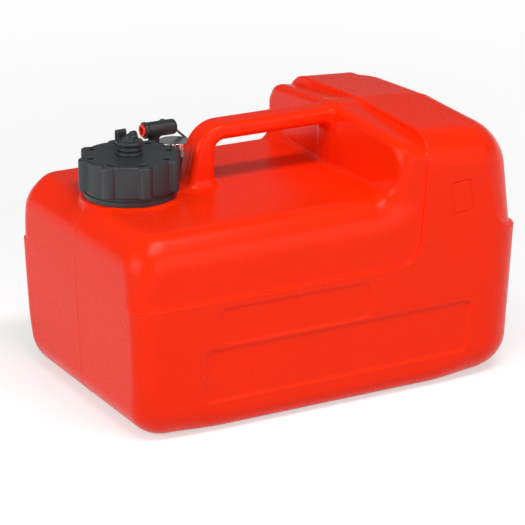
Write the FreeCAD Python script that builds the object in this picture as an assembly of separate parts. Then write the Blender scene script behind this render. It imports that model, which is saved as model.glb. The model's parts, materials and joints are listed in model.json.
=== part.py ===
"""Outboard fuel tank of about 12 litres, as separate solids in millimetres.

+X runs along the tank from the filler cap to the rear hump, +Y to the side with the fuel fitting and +Z up.
The origin is under the middle of the tank, on the surface it stands on.
"""
import FreeCAD, Part
import math
import os

from FreeCAD import Vector

# --- tank body: overall sizes -------------------------------------------------------------------------
LENGTH = 366.8
REFERENCE_HEIGHT = 124.8      # height at which the rear end is measured, it leans in below that
HALF_WIDTH = 114.8            # side face from the parting plane, at STEP_HEIGHT
WALL = 3.2
END_LEAN = 0.043              # how far an end leans out for each millimetre of height
SIDE_LEAN = 0.0206
STEP_HEIGHT = 112.2           # top of the thicker lower body
STEP_DEPTH = 2.6              # how far the lower body and the hump's band stand proud
END_STEP = 1.0
DECK_HEIGHT = 170.0           # deck at the parting plane
DECK_SLOPE = 0.012            # fall of the deck towards the sides
FRONT_CORNER_RADIUS = 18.5
DECK_CORNER_RADIUS = 20.5
REAR_CORNER_RADIUS = 41.0
DECK_LOOP_RADIUS = 20.0       # smallest rounding all round the deck
DECK_EDGE_RADIUS = 29.0
BOTTOM_EDGE_RADIUS = 18.0
BOTTOM_FRONT_RADIUS = 26.0
BOTTOM_REAR_RADIUS = 29.0
BODY_OVERLAP = 8.0            # how far the upper bodies reach down into the lower one

# --- rear hump ----------------------------------------------------------------------------------------
HUMP_HEIGHT = 224.9           # top of the hump at the parting plane, over its band's front
HUMP_SIDE_SLOPE = 0.044
HUMP_REAR_SLOPE = 0.060
BAND_FROM_REAR_END = 108.4    # front of the proud band, at BAND_FRONT_HEIGHT
BAND_FRONT_HEIGHT = 145.6
BAND_FRONT_LEAN = 0.073
BAND_REAR_FROM_END = 37.8     # rear of the band on the side face, at BAND_FRONT_HEIGHT
BAND_REAR_LEAN = -0.200
BAND_EDGE_RADIUS = 31.0
SHELF_HEIGHT = 132.7          # ledge under the recessed rear of the hump, where it meets the band's rear
SHELF_SLOPE = 0.220           # fall of the ledge towards the rear end
SHELF_RADIUS = 30.0
REAR_RECESS = 2.6             # how far the rear of the hump stands back from the band at the sides
REAR_END_RECESS = 3.5
REAR_LEAN = -0.140
REAR_SIDE_RADIUS = 22.0
REAR_EDGE_RADIUS = 37.0
RIDGE_AHEAD_OF_BAND = 19.0    # front face of the lower ridge, at its sides
RIDGE_CHEVRON = 0.058         # the ridge's front comes forward towards the parting plane
RIDGE_OVER_HUMP = 0.7         # ridge top at the parting plane, over its front, above HUMP_HEIGHT
RIDGE_SIDE_SLOPE = 0.090
RIDGE_REAR_SLOPE = 0.150
RIDGE_CORNER_RADIUS = 7.0
RIDGE_EDGE_RADIUS = 6.5
RIDGE_SIDE_RADIUS = 27.0
SWEEP_RADIUS = 20.0           # where the lower body's step turns up into the band's front

# --- side panels --------------------------------------------------------------------------------------
PANEL_DEPTH = 1.4
PANEL_CORNER_RADIUS = 7.0
LOWER_PANEL_FROM_FRONT = 59.6
LOWER_PANEL_FROM_REAR = 58.6
LOWER_PANEL_BOTTOM = 27.3
LOWER_PANEL_TOP = 71.1
LOWER_PANEL_LEFT_SLANT = 0.035
LOWER_PANEL_RIGHT_SLANT = 0.084
UPPER_PANEL_FROM_FRONT = 71.8
UPPER_PANEL_FROM_BAND = 48.8
UPPER_PANEL_BELOW_STEP = 7.5
UPPER_PANEL_HEIGHT = 30.5

# --- handle -------------------------------------------------------------------------------------------
HANDLE_WIDTH = 25.0
HANDLE_BELOW_HUMP = 2.6       # grip top under HUMP_HEIGHT
HANDLE_LEVEL_TO_BAND = 7.0    # the grip's top is level up to here, ahead of the band
HANDLE_FALL = 2.5             # of the grip's top over its run into the hump
HANDLE_THICKNESS = 14.2
HANDLE_FROM_FRONT_END = 107.0  # front of the leg at the underside of the grip
HANDLE_LEG_THICKNESS = 16.5
HANDLE_LEG_LEAN = 0.21
HANDLE_OUTER_RADIUS = 28.0
HANDLE_INNER_RADIUS = 9.0
HANDLE_EDGE_RADIUS = 5.5
HANDLE_INTO_HUMP = 46.0       # how far the grip runs on behind the band's front
FOOT_FLARE = 5.5
FOOT_HEIGHT = 12.0
FOOT_PROFILE = ((1.3, -0.15), (1.0, 0.0), (0.45, 0.2), (0.15, 0.5), (-0.1, 1.0))  # (share of flare, of height)

# --- filler neck --------------------------------------------------------------------------------------
NECK_FROM_FRONT_END = 51.0
NECK_BORE_RADIUS = 27.0
NECK_RADIUS = 31.0
NECK_HEIGHT = 26.4            # above the deck
NECK_BEAD_RADIUS = 39.6
NECK_BEAD_HEIGHT = 0.9        # bead top above the deck at the parting plane
THREAD_PITCH = 6.0
THREAD_DEPTH = 1.9
THREAD_TURNS = 1.5
THREAD_ROOT_WIDTH = 2.9
THREAD_CREST_WIDTH = 1.3
THREAD_RADIAL_CLEARANCE = 0.4
THREAD_BELOW_RIM = 4.0        # first thread ridge below the rim
THREAD_SINK = 0.6             # how deep a ridge is rooted in its wall

# --- filler cap ---------------------------------------------------------------------------------------
CAP_LOBES = 8
CAP_LOBE_PHASE = -7.4         # degrees
CAP_RADIUS = 43.2             # over the lobes
CAP_WAIST_RADIUS = 39.0
CAP_LOBE_RADIUS = 5.2
CAP_LOBE_ROOT_RADIUS = 1.5    # between a lobe and the waist
CAP_TOP_THICKNESS = 2.8
CAP_HEIGHT = 26.3
CAP_EDGE_RADIUS = 1.2
WINDOW_LENGTH = 6.6
WINDOW_WIDTH = 5.0
WINDOW_RADIUS = 33.3
INSERT_WALL = 3.3
INSERT_TOP_THICKNESS = 3.8
INSERT_FLANGE_RADIUS = 37.6
INSERT_FLANGE_HEIGHT = 4.0
INSERT_FLANGE_GAP = 0.8       # above the neck bead
SNAP_CLEARANCE = 0.15
CAP_GASKET_THICKNESS = 2.0
CAP_GASKET_WIDTH = 5.0
SEAL_GAP = 0.3                # between a soft seal and the face it lands on

# --- cap vent -----------------------------------------------------------------------------------------
VENT_FLANGE_RADIUS = 10.9
VENT_FLANGE_HEIGHT = 2.4
VENT_BODY_RADIUS = 8.6
VENT_BODY_HEIGHT = 7.4        # above the cap's top
VENT_RING_RADIUS = 10.5
VENT_RING_HEIGHT = 2.4
VENT_RING_BELOW_TOP = 0.9
VENT_SHANK_RADIUS = 6.0
VENT_SHANK_BELOW_INSERT = 4.6
VENT_BORE_RADIUS = 5.0
VENT_BREATHER_RADIUS = 2.0
KNOB_SPIGOT_ROOM = 1.5         # socket below the knob's spigot
VENT_NUT_ACROSS_FLATS = 17.0
VENT_NUT_THICKNESS = 3.8
KNOB_DISC_RADIUS = 11.0
KNOB_DISC_THICKNESS = 2.8
KNOB_DISC_EDGE_RADIUS = 0.7
KNOB_SPIGOT_LENGTH = 6.0
KNOB_HUB_RADIUS = 4.6
KNOB_HUB_HEIGHT = 3.0
KNOB_WING_LENGTH = 15.0
KNOB_WING_HEIGHT = 7.4
KNOB_WING_THICKNESS = 4.4
KNOB_WING_AZIMUTH = -12.0     # degrees
KNOB_WING_RECESS = 0.9
KNOB_WING_ROOT = 0.5          # how deep the fin is rooted in the disc
KNOB_WING_TAIL_HEIGHT = 2.0
KNOB_WING_TAIL = 0.8          # shares of the fin's half length, from its middle
KNOB_WING_CREST_START = 0.25
KNOB_WING_CREST_END = 0.8
KNOB_WING_POCKET_START = 0.1
KNOB_WING_POCKET_END = 0.78
KNOB_WING_POCKET_TIP = 0.68
KNOB_WING_BORDER = 1.6        # round the recess in the fin's sides
KNOB_WING_EDGE_RADIUS = 1.2
KNOB_WING_TAIL_RADIUS = 0.8
KNOB_WING_POCKET_RADIUS = 0.6
VENT_SEAL_THICKNESS = 1.1
VENT_SEAL_WIDTH = 2.4
VENT_STRAP_WIDTH = 8.5
VENT_STRAP_THICKNESS = 1.2
VENT_STRAP_BEND_RADIUS = 2.0
VENT_STRAP_AZIMUTH = 95.0     # degrees
VENT_STRAP_DEPTH = 4.4        # over the arch's two legs
VENT_STRAP_TOP = 17.2         # above the cap's top
RUNNING_CLEARANCE = 0.1

# --- fuel fitting on the deck -------------------------------------------------------------------------
FITTING_FROM_FRONT_END = 114.4
FITTING_FROM_SIDE = 62.8
PAD_RADIUS = 34.0
PAD_RISE = 0.6                # pad top above the deck at its nearest edge
PAD_DEPTH = 9.0               # thickened wall below the pad's top
FITTING_HOLE_RADIUS = 21.5
FLANGE_RADIUS = 33.0
FLANGE_THICKNESS = 4.0
FLANGE_PLUG_CLEARANCE = 0.4
FLANGE_PLUG_DEPTH = 8.0
FLANGE_GASKET_THICKNESS = 1.0
FLANGE_GASKET_INSET = 1.0
SCREW_COUNT = 5
SCREW_CIRCLE_RADIUS = 27.0
SCREW_PHASE = 65.0
SCREW_RADIUS = 2.0
SCREW_LENGTH = 11.0
SCREW_HEAD_RADIUS = 3.5
SCREW_HEAD_HEIGHT = 2.4
SCREW_SLOT_WIDTH = 0.8
SCREW_SLOT_DEPTH = 1.2
SCREW_SLOT_TURN = 40.0        # degrees from one screw's slot to the next
SCREW_HEAD_EDGE_RADIUS = 0.8
SCREW_END_ROOM = 0.5          # hole below the screw's end
CLOSE_FIT = 0.05              # radial room between two fixed round pieces

# --- outlet -------------------------------------------------------------------------------------------
OUTLET_OFFSET_X = -15.0       # from the fitting's centre
OUTLET_OFFSET_Y = 1.0
OUTLET_LEG_RADIUS = 4.8
OUTLET_ARM_RADIUS = 6.5
OUTLET_ARM_HEIGHT = 30.0      # arm axis above the flange's top
OUTLET_ARM_REACH = 9.5        # mouth from the leg's axis
OUTLET_ARM_TAIL = 20.0
OUTLET_MOUTH_LIP = 1.2
OUTLET_BORE_RADIUS = 4.6
OUTLET_PASSAGE_RADIUS = 2.2
OUTLET_NOSE_RADIUS = 3.0
PLUG_LENGTH = 6.5
PLUG_FLANGE_RADIUS = 5.4
PLUG_FLANGE_THICKNESS = 1.6
PLUG_WALL = 1.1
PLUG_ROOM = 1.0               # free bore behind the plug
STRAP_POST_RADIUS = 2.2
STRAP_EYE_RADIUS = 4.2
STRAP_THICKNESS = 1.3
STRAP_WIDTH = 5.0
STRAP_POST_HEAD = 1.0
STRAP_FOOT_LENGTH = 5.5
STRAP_FOOT_X = 29.0           # foot's far end from the fitting's centre
STRAP_KNEE_X = 19.0
STRAP_KNEE_HEIGHT = 15.6      # above the flange's top
STRAP_UPPER_START = (0.65, 0.65)  # where the band leaves the eye, from its centre, in eye radii
STRAP_LOWER_START = (0.1, 0.75)
PICKUP_TUBE_RADIUS = 3.2
PICKUP_TUBE_WALL = 0.9
PICKUP_TUBE_SOCKET = 6.0
PICKUP_TUBE_CLEARANCE = 13.0  # tube end above the tank floor
STRAINER_RADIUS = 6.0
STRAINER_LENGTH = 20.0
STRAINER_WALL = 1.0
STRAINER_GAP = 3.0            # strainer above the tank floor
STRAINER_SLOTS = 6
STRAINER_SLOT_WIDTH = 1.6

# --- fuel gauge ---------------------------------------------------------------------------------------
GAUGE_OFFSET_X = 3.4
GAUGE_OFFSET_Y = 0.4
GAUGE_RADIUS = 12.6
GAUGE_BASE_HEIGHT = 5.0
GAUGE_WINDOW_HEIGHT = 10.0
GAUGE_WINDOW_WALL = 1.8
GAUGE_SEAL_THICKNESS = 1.0
GAUGE_SEAL_WIDTH = 1.8
BEZEL_RADIUS = 13.2
BEZEL_HEIGHT = 6.5
BEZEL_TOP_THICKNESS = 2.0
BEZEL_FLUTES = 32
BEZEL_FLUTE_RADIUS = 0.5
DRUM_RADIUS = 9.4
DRUM_WALL = 1.2
DRUM_GAP = 0.8                # drum above the base and below the bezel
DRUM_TICKS = 9
DRUM_TICK_START = -90.0       # degrees
DRUM_TICK_SWEEP = 200.0
DRUM_LONG_TICK = 4.7
DRUM_SHORT_TICK = 2.35
STRIP_WIDTH = 4.0
STRIP_THICKNESS = 0.9
STRIP_TWIST = 270.0           # degrees over the whole strip
STRIP_SECTIONS = 18
SHAFT_RADIUS = 1.6
STRIP_SHAFT_GAP = 0.6
FLOAT_RADIUS = 11.0
FLOAT_HEIGHT = 18.0
FLOAT_BORE_RADIUS = 3.4
FLOAT_WEB = 1.5
FLOAT_SLOT_CLEARANCE = 0.45
FLOAT_FLOOR_GAP = 2.0         # float at rest above the guide's foot
ROD_RADIUS = 1.5
ROD_OFFSET = 7.2
ROD_CLEARANCE = 0.3
GUIDE_FOOT_THICKNESS = 3.0
GUIDE_FOOT_WIDTH = 7.0
GUIDE_FOOT_CLEARANCE = 22.0   # foot above the tank floor

REACH = 4 * LENGTH
UP = Vector(0, 0, 1)
ORIGIN = Vector(0, 0, 0)
ON_PLANE = 1e-3
PAST = 1.0                    # how far a cut runs past a face, or a root into one

# --- worked-out places --------------------------------------------------------------------------------
LEFT_END = -LENGTH / 2
RIGHT_END = LENGTH / 2
BAND_FRONT = RIGHT_END - BAND_FROM_REAR_END
BAND_REAR = RIGHT_END - BAND_REAR_FROM_END
RIDGE_HEIGHT = HUMP_HEIGHT + RIDGE_OVER_HUMP
LOWER_PANEL_LEFT = LEFT_END + LOWER_PANEL_FROM_FRONT
LOWER_PANEL_RIGHT = RIGHT_END - LOWER_PANEL_FROM_REAR
UPPER_PANEL_LEFT = LEFT_END + UPPER_PANEL_FROM_FRONT
UPPER_PANEL_RIGHT = BAND_FRONT - UPPER_PANEL_FROM_BAND
UPPER_PANEL_TOP = STEP_HEIGHT - UPPER_PANEL_BELOW_STEP
UPPER_PANEL_BOTTOM = UPPER_PANEL_TOP - UPPER_PANEL_HEIGHT
HANDLE_TOP = HUMP_HEIGHT - HANDLE_BELOW_HUMP
HANDLE_LEVEL_END = BAND_FRONT - HANDLE_LEVEL_TO_BAND
HANDLE_REAR_TOP = HANDLE_TOP - HANDLE_FALL
HANDLE_FRONT = LEFT_END + HANDLE_FROM_FRONT_END
NECK_X = LEFT_END + NECK_FROM_FRONT_END
FITTING_X = LEFT_END + FITTING_FROM_FRONT_END
FITTING_Y = HALF_WIDTH - FITTING_FROM_SIDE
UNDERSIDE_OF_DECK = DECK_HEIGHT - WALL
RIDGE_INTO_BAND = BAND_FRONT + HANDLE_INTO_HUMP / 2
RIDGE_FRONT_MIDDLE = BAND_FRONT - RIDGE_AHEAD_OF_BAND - RIDGE_CHEVRON * HALF_WIDTH
SHELF_START = BAND_REAR - BAND_REAR_LEAN * (BAND_FRONT_HEIGHT - SHELF_HEIGHT)
NECK_TOP = DECK_HEIGHT + NECK_HEIGHT
CAP_GASKET_BOTTOM = NECK_TOP + SEAL_GAP
INSERT_CEILING = CAP_GASKET_BOTTOM + CAP_GASKET_THICKNESS
INSERT_TOP = INSERT_CEILING + INSERT_TOP_THICKNESS
CAP_TOP = INSERT_TOP + CAP_TOP_THICKNESS
CAP_BOTTOM = CAP_TOP - CAP_HEIGHT
INSERT_INNER_RADIUS = NECK_RADIUS + THREAD_DEPTH + THREAD_RADIAL_CLEARANCE
INSERT_RADIUS = INSERT_INNER_RADIUS + INSERT_WALL
INSERT_BOTTOM = DECK_HEIGHT + NECK_BEAD_HEIGHT + INSERT_FLANGE_GAP
VENT_TOP = CAP_TOP + VENT_BODY_HEIGHT
KNOB_BOTTOM = VENT_TOP + VENT_SEAL_THICKNESS
KNOB_DISC_TOP = KNOB_BOTTOM + KNOB_DISC_THICKNESS
KNOB_HUB_TOP = KNOB_DISC_TOP + KNOB_HUB_HEIGHT
PAD_TOP = DECK_HEIGHT - DECK_SLOPE * (FITTING_Y - PAD_RADIUS) + PAD_RISE
FLANGE_BOTTOM = PAD_TOP + FLANGE_GASKET_THICKNESS
FLANGE_TOP = FLANGE_BOTTOM + FLANGE_THICKNESS
OUTLET_X = FITTING_X + OUTLET_OFFSET_X
OUTLET_Y = FITTING_Y + OUTLET_OFFSET_Y
ARM_Z = FLANGE_TOP + OUTLET_ARM_HEIGHT
MOUTH_X = OUTLET_X - OUTLET_ARM_REACH
TAIL_X = OUTLET_X + OUTLET_ARM_TAIL
POST_X = TAIL_X - OUTLET_NOSE_RADIUS - 1.5 * STRAP_POST_RADIUS
GAUGE_X = FITTING_X + GAUGE_OFFSET_X
GAUGE_Y = FITTING_Y + GAUGE_OFFSET_Y
GAUGE_BASE_TOP = FLANGE_TOP + GAUGE_BASE_HEIGHT
WINDOW_BOTTOM = GAUGE_BASE_TOP + GAUGE_SEAL_THICKNESS
WINDOW_TOP = WINDOW_BOTTOM + GAUGE_WINDOW_HEIGHT
BEZEL_TOP = WINDOW_TOP + BEZEL_TOP_THICKNESS
PLUG_BOTTOM = FLANGE_BOTTOM - FLANGE_PLUG_DEPTH
GUIDE_FOOT_BOTTOM = WALL + GUIDE_FOOT_CLEARANCE
GUIDE_FOOT_TOP = GUIDE_FOOT_BOTTOM + GUIDE_FOOT_THICKNESS
FLOAT_BOTTOM = GUIDE_FOOT_TOP + FLOAT_FLOOR_GAP
STRIP_BOTTOM = GUIDE_FOOT_TOP + STRIP_SHAFT_GAP
STRIP_TOP = PLUG_BOTTOM - STRIP_SHAFT_GAP


# --- helpers ------------------------------------------------------------------------------------------
def cylinder(radius, bottom, top, x=0.0, y=0.0):
    return Part.makeCylinder(radius, top - bottom, Vector(x, y, bottom), UP)


def tube(outer, inner, bottom, top, x=0.0, y=0.0):
    return cylinder(outer, bottom, top, x, y).cut(cylinder(inner, bottom - PAST, top + PAST, x, y))


def rod_along_x(radius, start, end, y, z):
    return Part.makeCylinder(radius, end - start, Vector(start, y, z), Vector(1, 0, 0))


def polar(radius, degrees, z=0.0):
    angle = math.radians(degrees)
    return Vector(radius * math.cos(angle), radius * math.sin(angle), z)


def turned(shape, degrees, x, y):
    copy = shape.copy()
    copy.rotate(Vector(x, y, 0), UP, degrees)
    return copy


def prism_along_y(points, radii, low_y, high_y):
    """A prism on an XZ outline of (x, z) points, each corner rounded to its radius in radii."""
    corners = [Vector(x, low_y, z) for x, z in points]
    edges = []
    ends = []
    for index, corner in enumerate(corners):
        back = (corners[index - 1] - corner).normalize()
        ahead = (corners[(index + 1) % len(corners)] - corner).normalize()
        radius = radii[index]
        if radius == 0:
            ends.append((corner, corner, None))
            continue
        half_turn = math.acos(max(-1.0, min(1.0, back.dot(ahead)))) / 2
        tangent = radius / math.tan(half_turn)
        middle = (back + ahead).normalize() * (radius / math.sin(half_turn))
        inward = (corner + middle) - (back + ahead).normalize() * radius
        ends.append((corner + back * tangent, corner + ahead * tangent, inward))
    for index, (start, end, inward) in enumerate(ends):
        if inward is not None:
            edges.append(Part.Arc(start, inward, end).toShape())
        following = ends[(index + 1) % len(ends)][0]
        edges.append(Part.LineSegment(end, following).toShape())
    face = Part.Face(Part.Wire(edges))
    return face.extrude(Vector(0, high_y - low_y, 0))


def plane(x, y, z, outward, inset):
    """A plane through a point, moved inwards by inset: (point, outward normal)."""
    normal = Vector(*outward).normalize()
    return Vector(x, y, z) - normal * inset, normal


def behind(face):
    """A big box filling the space behind a plane."""
    point, normal = face
    box = Part.makeBox(REACH, REACH, REACH, Vector(-REACH / 2, -REACH / 2, -REACH))
    box.Placement = FreeCAD.Placement(point, FreeCAD.Rotation(UP, normal))
    return box


def lies_on(edge, face):
    point, normal = face
    first, last = edge.ParameterRange
    places = (first, (first + last) / 2, last)
    return all(abs((edge.valueAt(place) - point).dot(normal)) < ON_PLANE for place in places)


def edges_on(solid, wanted, unwanted=()):
    return [
        edge for edge in solid.Edges
        if all(lies_on(edge, face) for face in wanted) and not any(lies_on(edge, face) for face in unwanted)
    ]


def is_upright(edge):
    start, end = edge.valueAt(edge.FirstParameter), edge.valueAt(edge.LastParameter)
    return (end - start).cross(UP).Length < ON_PLANE and edge.Length > ON_PLANE


def filleted(solid, radius, edges):
    return solid.makeFillet(radius, edges) if radius > 0 and edges else solid


def rounded(solid, first, second, radius):
    """Rounds the edge between two of the planes that bound a solid."""
    if radius <= 0:
        return solid
    (first_point, first_normal), (second_point, second_normal) = first, second
    along = first_normal.cross(second_normal).normalize()
    cosine = first_normal.dot(second_normal)
    first_depth = first_point.dot(first_normal) - radius
    second_depth = second_point.dot(second_normal) - radius
    share = 1 - cosine * cosine
    axis = (first_normal * ((first_depth - cosine * second_depth) / share)
            + second_normal * ((second_depth - cosine * first_depth) / share))
    towards_first = (first_normal - second_normal * cosine).normalize()
    towards_second = (second_normal - first_normal * cosine).normalize()
    corner = behind((axis, towards_first * -1)).common(behind((axis, towards_second * -1)))
    round_bar = Part.makeCylinder(radius, 2 * REACH, axis - along * REACH, along)
    return solid.cut(corner.cut(round_bar))


def block(left, right, side, top, bottom, corner_radii, edge_radii, inset, rounds=(), square_right=False):
    """A block between planes, mirrored about the parting plane; inset makes the hollow inside it.

    corner_radii are those of the left and right upright corners and edge_radii those round the top and
    the bottom; rounds lists pairs of planes whose edge has a larger radius, with that radius.
    """
    parting = (ORIGIN, Vector(0, 1, 0))
    half = behind(parting)
    for face in (left, right, side, top, bottom):
        half = half.common(behind(face))
    half = filleted(half, corner_radii[0] - inset, edges_on(half, (side, left)))
    half = filleted(half, corner_radii[1] - inset, edges_on(half, (side, right)))
    skipped = (parting, right) if square_right else (parting,)
    half = filleted(half, edge_radii[0] - inset, edges_on(half, (top,), skipped))
    half = filleted(half, edge_radii[1] - inset, edges_on(half, (bottom,), skipped))
    for first, second, radius in rounds:
        half = rounded(half, first, second, radius - inset)
    return half.fuse(half.mirror(ORIGIN, Vector(0, 1, 0))).removeSplitter()


def helical_ridge(radius, crest, bottom, inwards):
    """A screw ridge of THREAD_TURNS turns on a wall of this radius, rooted a little inside the wall."""
    rise = THREAD_PITCH * THREAD_TURNS
    sink = THREAD_SINK if not inwards else -THREAD_SINK
    root = THREAD_ROOT_WIDTH / 2
    tip = THREAD_CREST_WIDTH / 2
    profile = Part.makePolygon([
        Vector(radius - sink, 0, -root), Vector(radius, 0, -root), Vector(crest, 0, -tip),
        Vector(crest, 0, tip), Vector(radius, 0, root), Vector(radius - sink, 0, root),
        Vector(radius - sink, 0, -root),
    ])
    helix = Part.makeHelix(THREAD_PITCH, rise, radius)
    ridge = Part.Wire(helix).makePipeShell([profile], True, True)
    ridge.translate(Vector(NECK_X, 0, bottom))
    return ridge


# --- tank body ----------------------------------------------------------------------------------------
def side_plane(depth, inset):
    """The near side face, a given depth behind the lower body's."""
    return plane(0, -HALF_WIDTH + depth, STEP_HEIGHT, (0, -1, -SIDE_LEAN), inset)


def floor_plane(height, inset):
    return plane(0, 0, height, (0, 0, -1), inset)


def lower_body(inset):
    """The thick lower body, over the whole length."""
    front = plane(LEFT_END, 0, STEP_HEIGHT, (-1, 0, -END_LEAN), inset)
    rear = plane(RIGHT_END, 0, REFERENCE_HEIGHT, (1, 0, -END_LEAN), inset)
    floor = floor_plane(0, inset)
    return block(front, rear, side_plane(0, inset), plane(0, 0, STEP_HEIGHT, (0, 0, 1), inset), floor,
                 (FRONT_CORNER_RADIUS, REAR_CORNER_RADIUS), (0, BOTTOM_EDGE_RADIUS), inset,
                 [(front, floor, BOTTOM_FRONT_RADIUS), (rear, floor, BOTTOM_REAR_RADIUS)])


def deck_body(inset):
    """The upper front body under the deck, a little slimmer than the lower one."""
    front = plane(LEFT_END + END_STEP, 0, STEP_HEIGHT, (-1, 0, 0), inset)
    side = side_plane(STEP_DEPTH, inset)
    deck = plane(0, 0, DECK_HEIGHT, (0, -DECK_SLOPE, 1), inset)
    return block(front, plane(RIDGE_INTO_BAND, 0, STEP_HEIGHT, (1, 0, 0), inset), side, deck,
                 floor_plane(STEP_HEIGHT - BODY_OVERLAP, -inset),
                 (DECK_CORNER_RADIUS, 0), (DECK_LOOP_RADIUS, 0), inset,
                 [(front, deck, DECK_EDGE_RADIUS), (side, deck, DECK_EDGE_RADIUS)], square_right=True)


def hump_top(drop, inset):
    return plane(BAND_FRONT, 0, HUMP_HEIGHT - drop, (HUMP_REAR_SLOPE, -HUMP_SIDE_SLOPE, 1), inset)


def band_front_plane(inset):
    return plane(BAND_FRONT, 0, BAND_FRONT_HEIGHT, (-1, 0, BAND_FRONT_LEAN), inset)


def hump_band(inset):
    """The full-width rear body: the proud band round the front of the hump and the body below its ledge."""
    side = side_plane(0, inset)
    top = hump_top(0, inset)
    body = block(band_front_plane(inset), plane(RIGHT_END, 0, REFERENCE_HEIGHT, (1, 0, -END_LEAN), inset),
                 side, top, floor_plane(STEP_HEIGHT - BODY_OVERLAP, -inset),
                 (0, REAR_CORNER_RADIUS), (0, 0), inset, [(side, top, BAND_EDGE_RADIUS)])
    return body.cut(rear_recess(inset))


def rear_recess(inset):
    """Everything above the ledge and behind the band's rear edge."""
    rise = HUMP_HEIGHT - SHELF_HEIGHT + inset
    run = LENGTH / 2
    outline = [(SHELF_START - inset, SHELF_HEIGHT - inset),
               (SHELF_START + run, SHELF_HEIGHT - inset - SHELF_SLOPE * run),
               (SHELF_START + run, SHELF_HEIGHT + rise),
               (SHELF_START - inset + BAND_REAR_LEAN * rise, SHELF_HEIGHT + rise)]
    return prism_along_y(outline, [SHELF_RADIUS + inset, 0, 0, 0], -REACH / 2, REACH / 2)


def hump_rear(inset):
    """The recessed rear of the hump."""
    rear = plane(RIGHT_END - REAR_END_RECESS, 0, SHELF_HEIGHT, (1, 0, -REAR_LEAN), inset)
    top = hump_top(REAR_RECESS, inset)
    low = SHELF_HEIGHT - SHELF_SLOPE * (RIGHT_END - SHELF_START) - BODY_OVERLAP
    return block(plane(RIDGE_INTO_BAND, 0, SHELF_HEIGHT, (-1, 0, 0), inset), rear,
                 side_plane(REAR_RECESS, inset), top, floor_plane(low, -inset),
                 (0, REAR_CORNER_RADIUS), (REAR_SIDE_RADIUS, 0), inset, [(rear, top, REAR_EDGE_RADIUS)])


def ridge(inset):
    """The lower ridge across the front of the hump."""
    front = plane(RIDGE_FRONT_MIDDLE, 0, DECK_HEIGHT, (-1, -RIDGE_CHEVRON, 0), inset)
    side = side_plane(STEP_DEPTH, inset)
    top = plane(RIDGE_FRONT_MIDDLE, 0, RIDGE_HEIGHT, (RIDGE_REAR_SLOPE, -RIDGE_SIDE_SLOPE, 1), inset)
    return block(front, plane(RIDGE_INTO_BAND, 0, DECK_HEIGHT, (1, 0, 0), inset), side, top,
                 floor_plane(STEP_HEIGHT, -inset), (RIDGE_CORNER_RADIUS, 0), (RIDGE_EDGE_RADIUS, 0), inset,
                 [(side, top, RIDGE_SIDE_RADIUS)], square_right=True)


def handle(inset):
    """The carrying handle: a leg from the deck, a grip and its run into the hump."""
    underside = HANDLE_TOP - HANDLE_THICKNESS + inset
    top = HANDLE_TOP - inset
    base = UNDERSIDE_OF_DECK - inset
    leg_front = HANDLE_FRONT + inset
    leg_back = HANDLE_FRONT + HANDLE_LEG_THICKNESS - inset
    end = BAND_FRONT + HANDLE_INTO_HUMP
    ridge_front = RIDGE_FRONT_MIDDLE + inset
    front_top = leg_front + HANDLE_LEG_LEAN * (top - underside)
    front_base = leg_front - HANDLE_LEG_LEAN * (underside - base)
    rear_top = HANDLE_REAR_TOP - inset
    outline = [(front_base, base), (front_top, top), (HANDLE_LEVEL_END, top), (end, rear_top), (end, base),
               (ridge_front, base), (ridge_front, underside), (leg_back, underside), (leg_back, base)]
    outer = HANDLE_OUTER_RADIUS - inset
    inner = HANDLE_INNER_RADIUS + inset
    grip = prism_along_y(outline, [0, outer, 0, 0, 0, 0, inner, inner, 0],
                         -HANDLE_WIDTH / 2 + inset, HANDLE_WIDTH / 2 - inset)
    sides = [plane(0, sign * HANDLE_WIDTH / 2, 0, (0, sign, 0), inset) for sign in (-1, 1)]
    hidden = [(Vector(0, 0, base), UP), (Vector(end, 0, 0), Vector(1, 0, 0)),
              (Vector(ridge_front, 0, 0), Vector(1, 0, 0))]
    long_edges = []
    for side in sides:
        long_edges += edges_on(grip, (side,), hidden)
    return filleted(grip, HANDLE_EDGE_RADIUS - inset, long_edges)


def round_rectangle(left, right, half, radius, height):
    """A closed outline in a level plane, with rounded corners."""
    face = Part.makePlane(right - left, 2 * half, Vector(left, -half, height))
    solid = face.extrude(UP)
    solid = solid.makeFillet(radius, [edge for edge in solid.Edges if is_upright(edge)])
    return min(solid.Faces, key=lambda side: side.CenterOfMass.z).OuterWire


def handle_foot():
    """The flare where the leg meets the deck."""
    sections = []
    for share, level in FOOT_PROFILE:
        height = DECK_HEIGHT + FOOT_HEIGHT * level
        grow = FOOT_FLARE * share
        front = HANDLE_FRONT - HANDLE_LEG_LEAN * (HANDLE_TOP - HANDLE_THICKNESS - height) - grow
        back = HANDLE_FRONT + HANDLE_LEG_THICKNESS + grow
        half = HANDLE_WIDTH / 2 + grow
        sections.append(round_rectangle(front, back, half, HANDLE_EDGE_RADIUS + grow, height))
    return Part.makeLoft(sections, True, True)


def step_sweep(inset):
    """Rounds the inner corner where the lower body's step turns up into the front of the band."""
    low = STEP_HEIGHT - SWEEP_RADIUS
    left = BAND_FRONT - 2 * SWEEP_RADIUS
    right = BAND_FRONT + SWEEP_RADIUS
    high = SHELF_HEIGHT
    front = BAND_FRONT - BAND_FRONT_LEAN * (BAND_FRONT_HEIGHT - STEP_HEIGHT) + inset
    outline = [(left, low), (right, low), (right, high), (front, high), (front, STEP_HEIGHT - inset),
               (left, STEP_HEIGHT - inset)]
    sweep = prism_along_y(outline, [0, 0, 0, 0, SWEEP_RADIUS + inset, 0], -HALF_WIDTH * 2, HALF_WIDTH * 2)
    near = side_plane(0, inset)
    far = (Vector(near[0].x, -near[0].y, near[0].z), Vector(near[1].x, -near[1].y, near[1].z))
    return sweep.common(behind(near)).common(behind(far))


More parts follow.
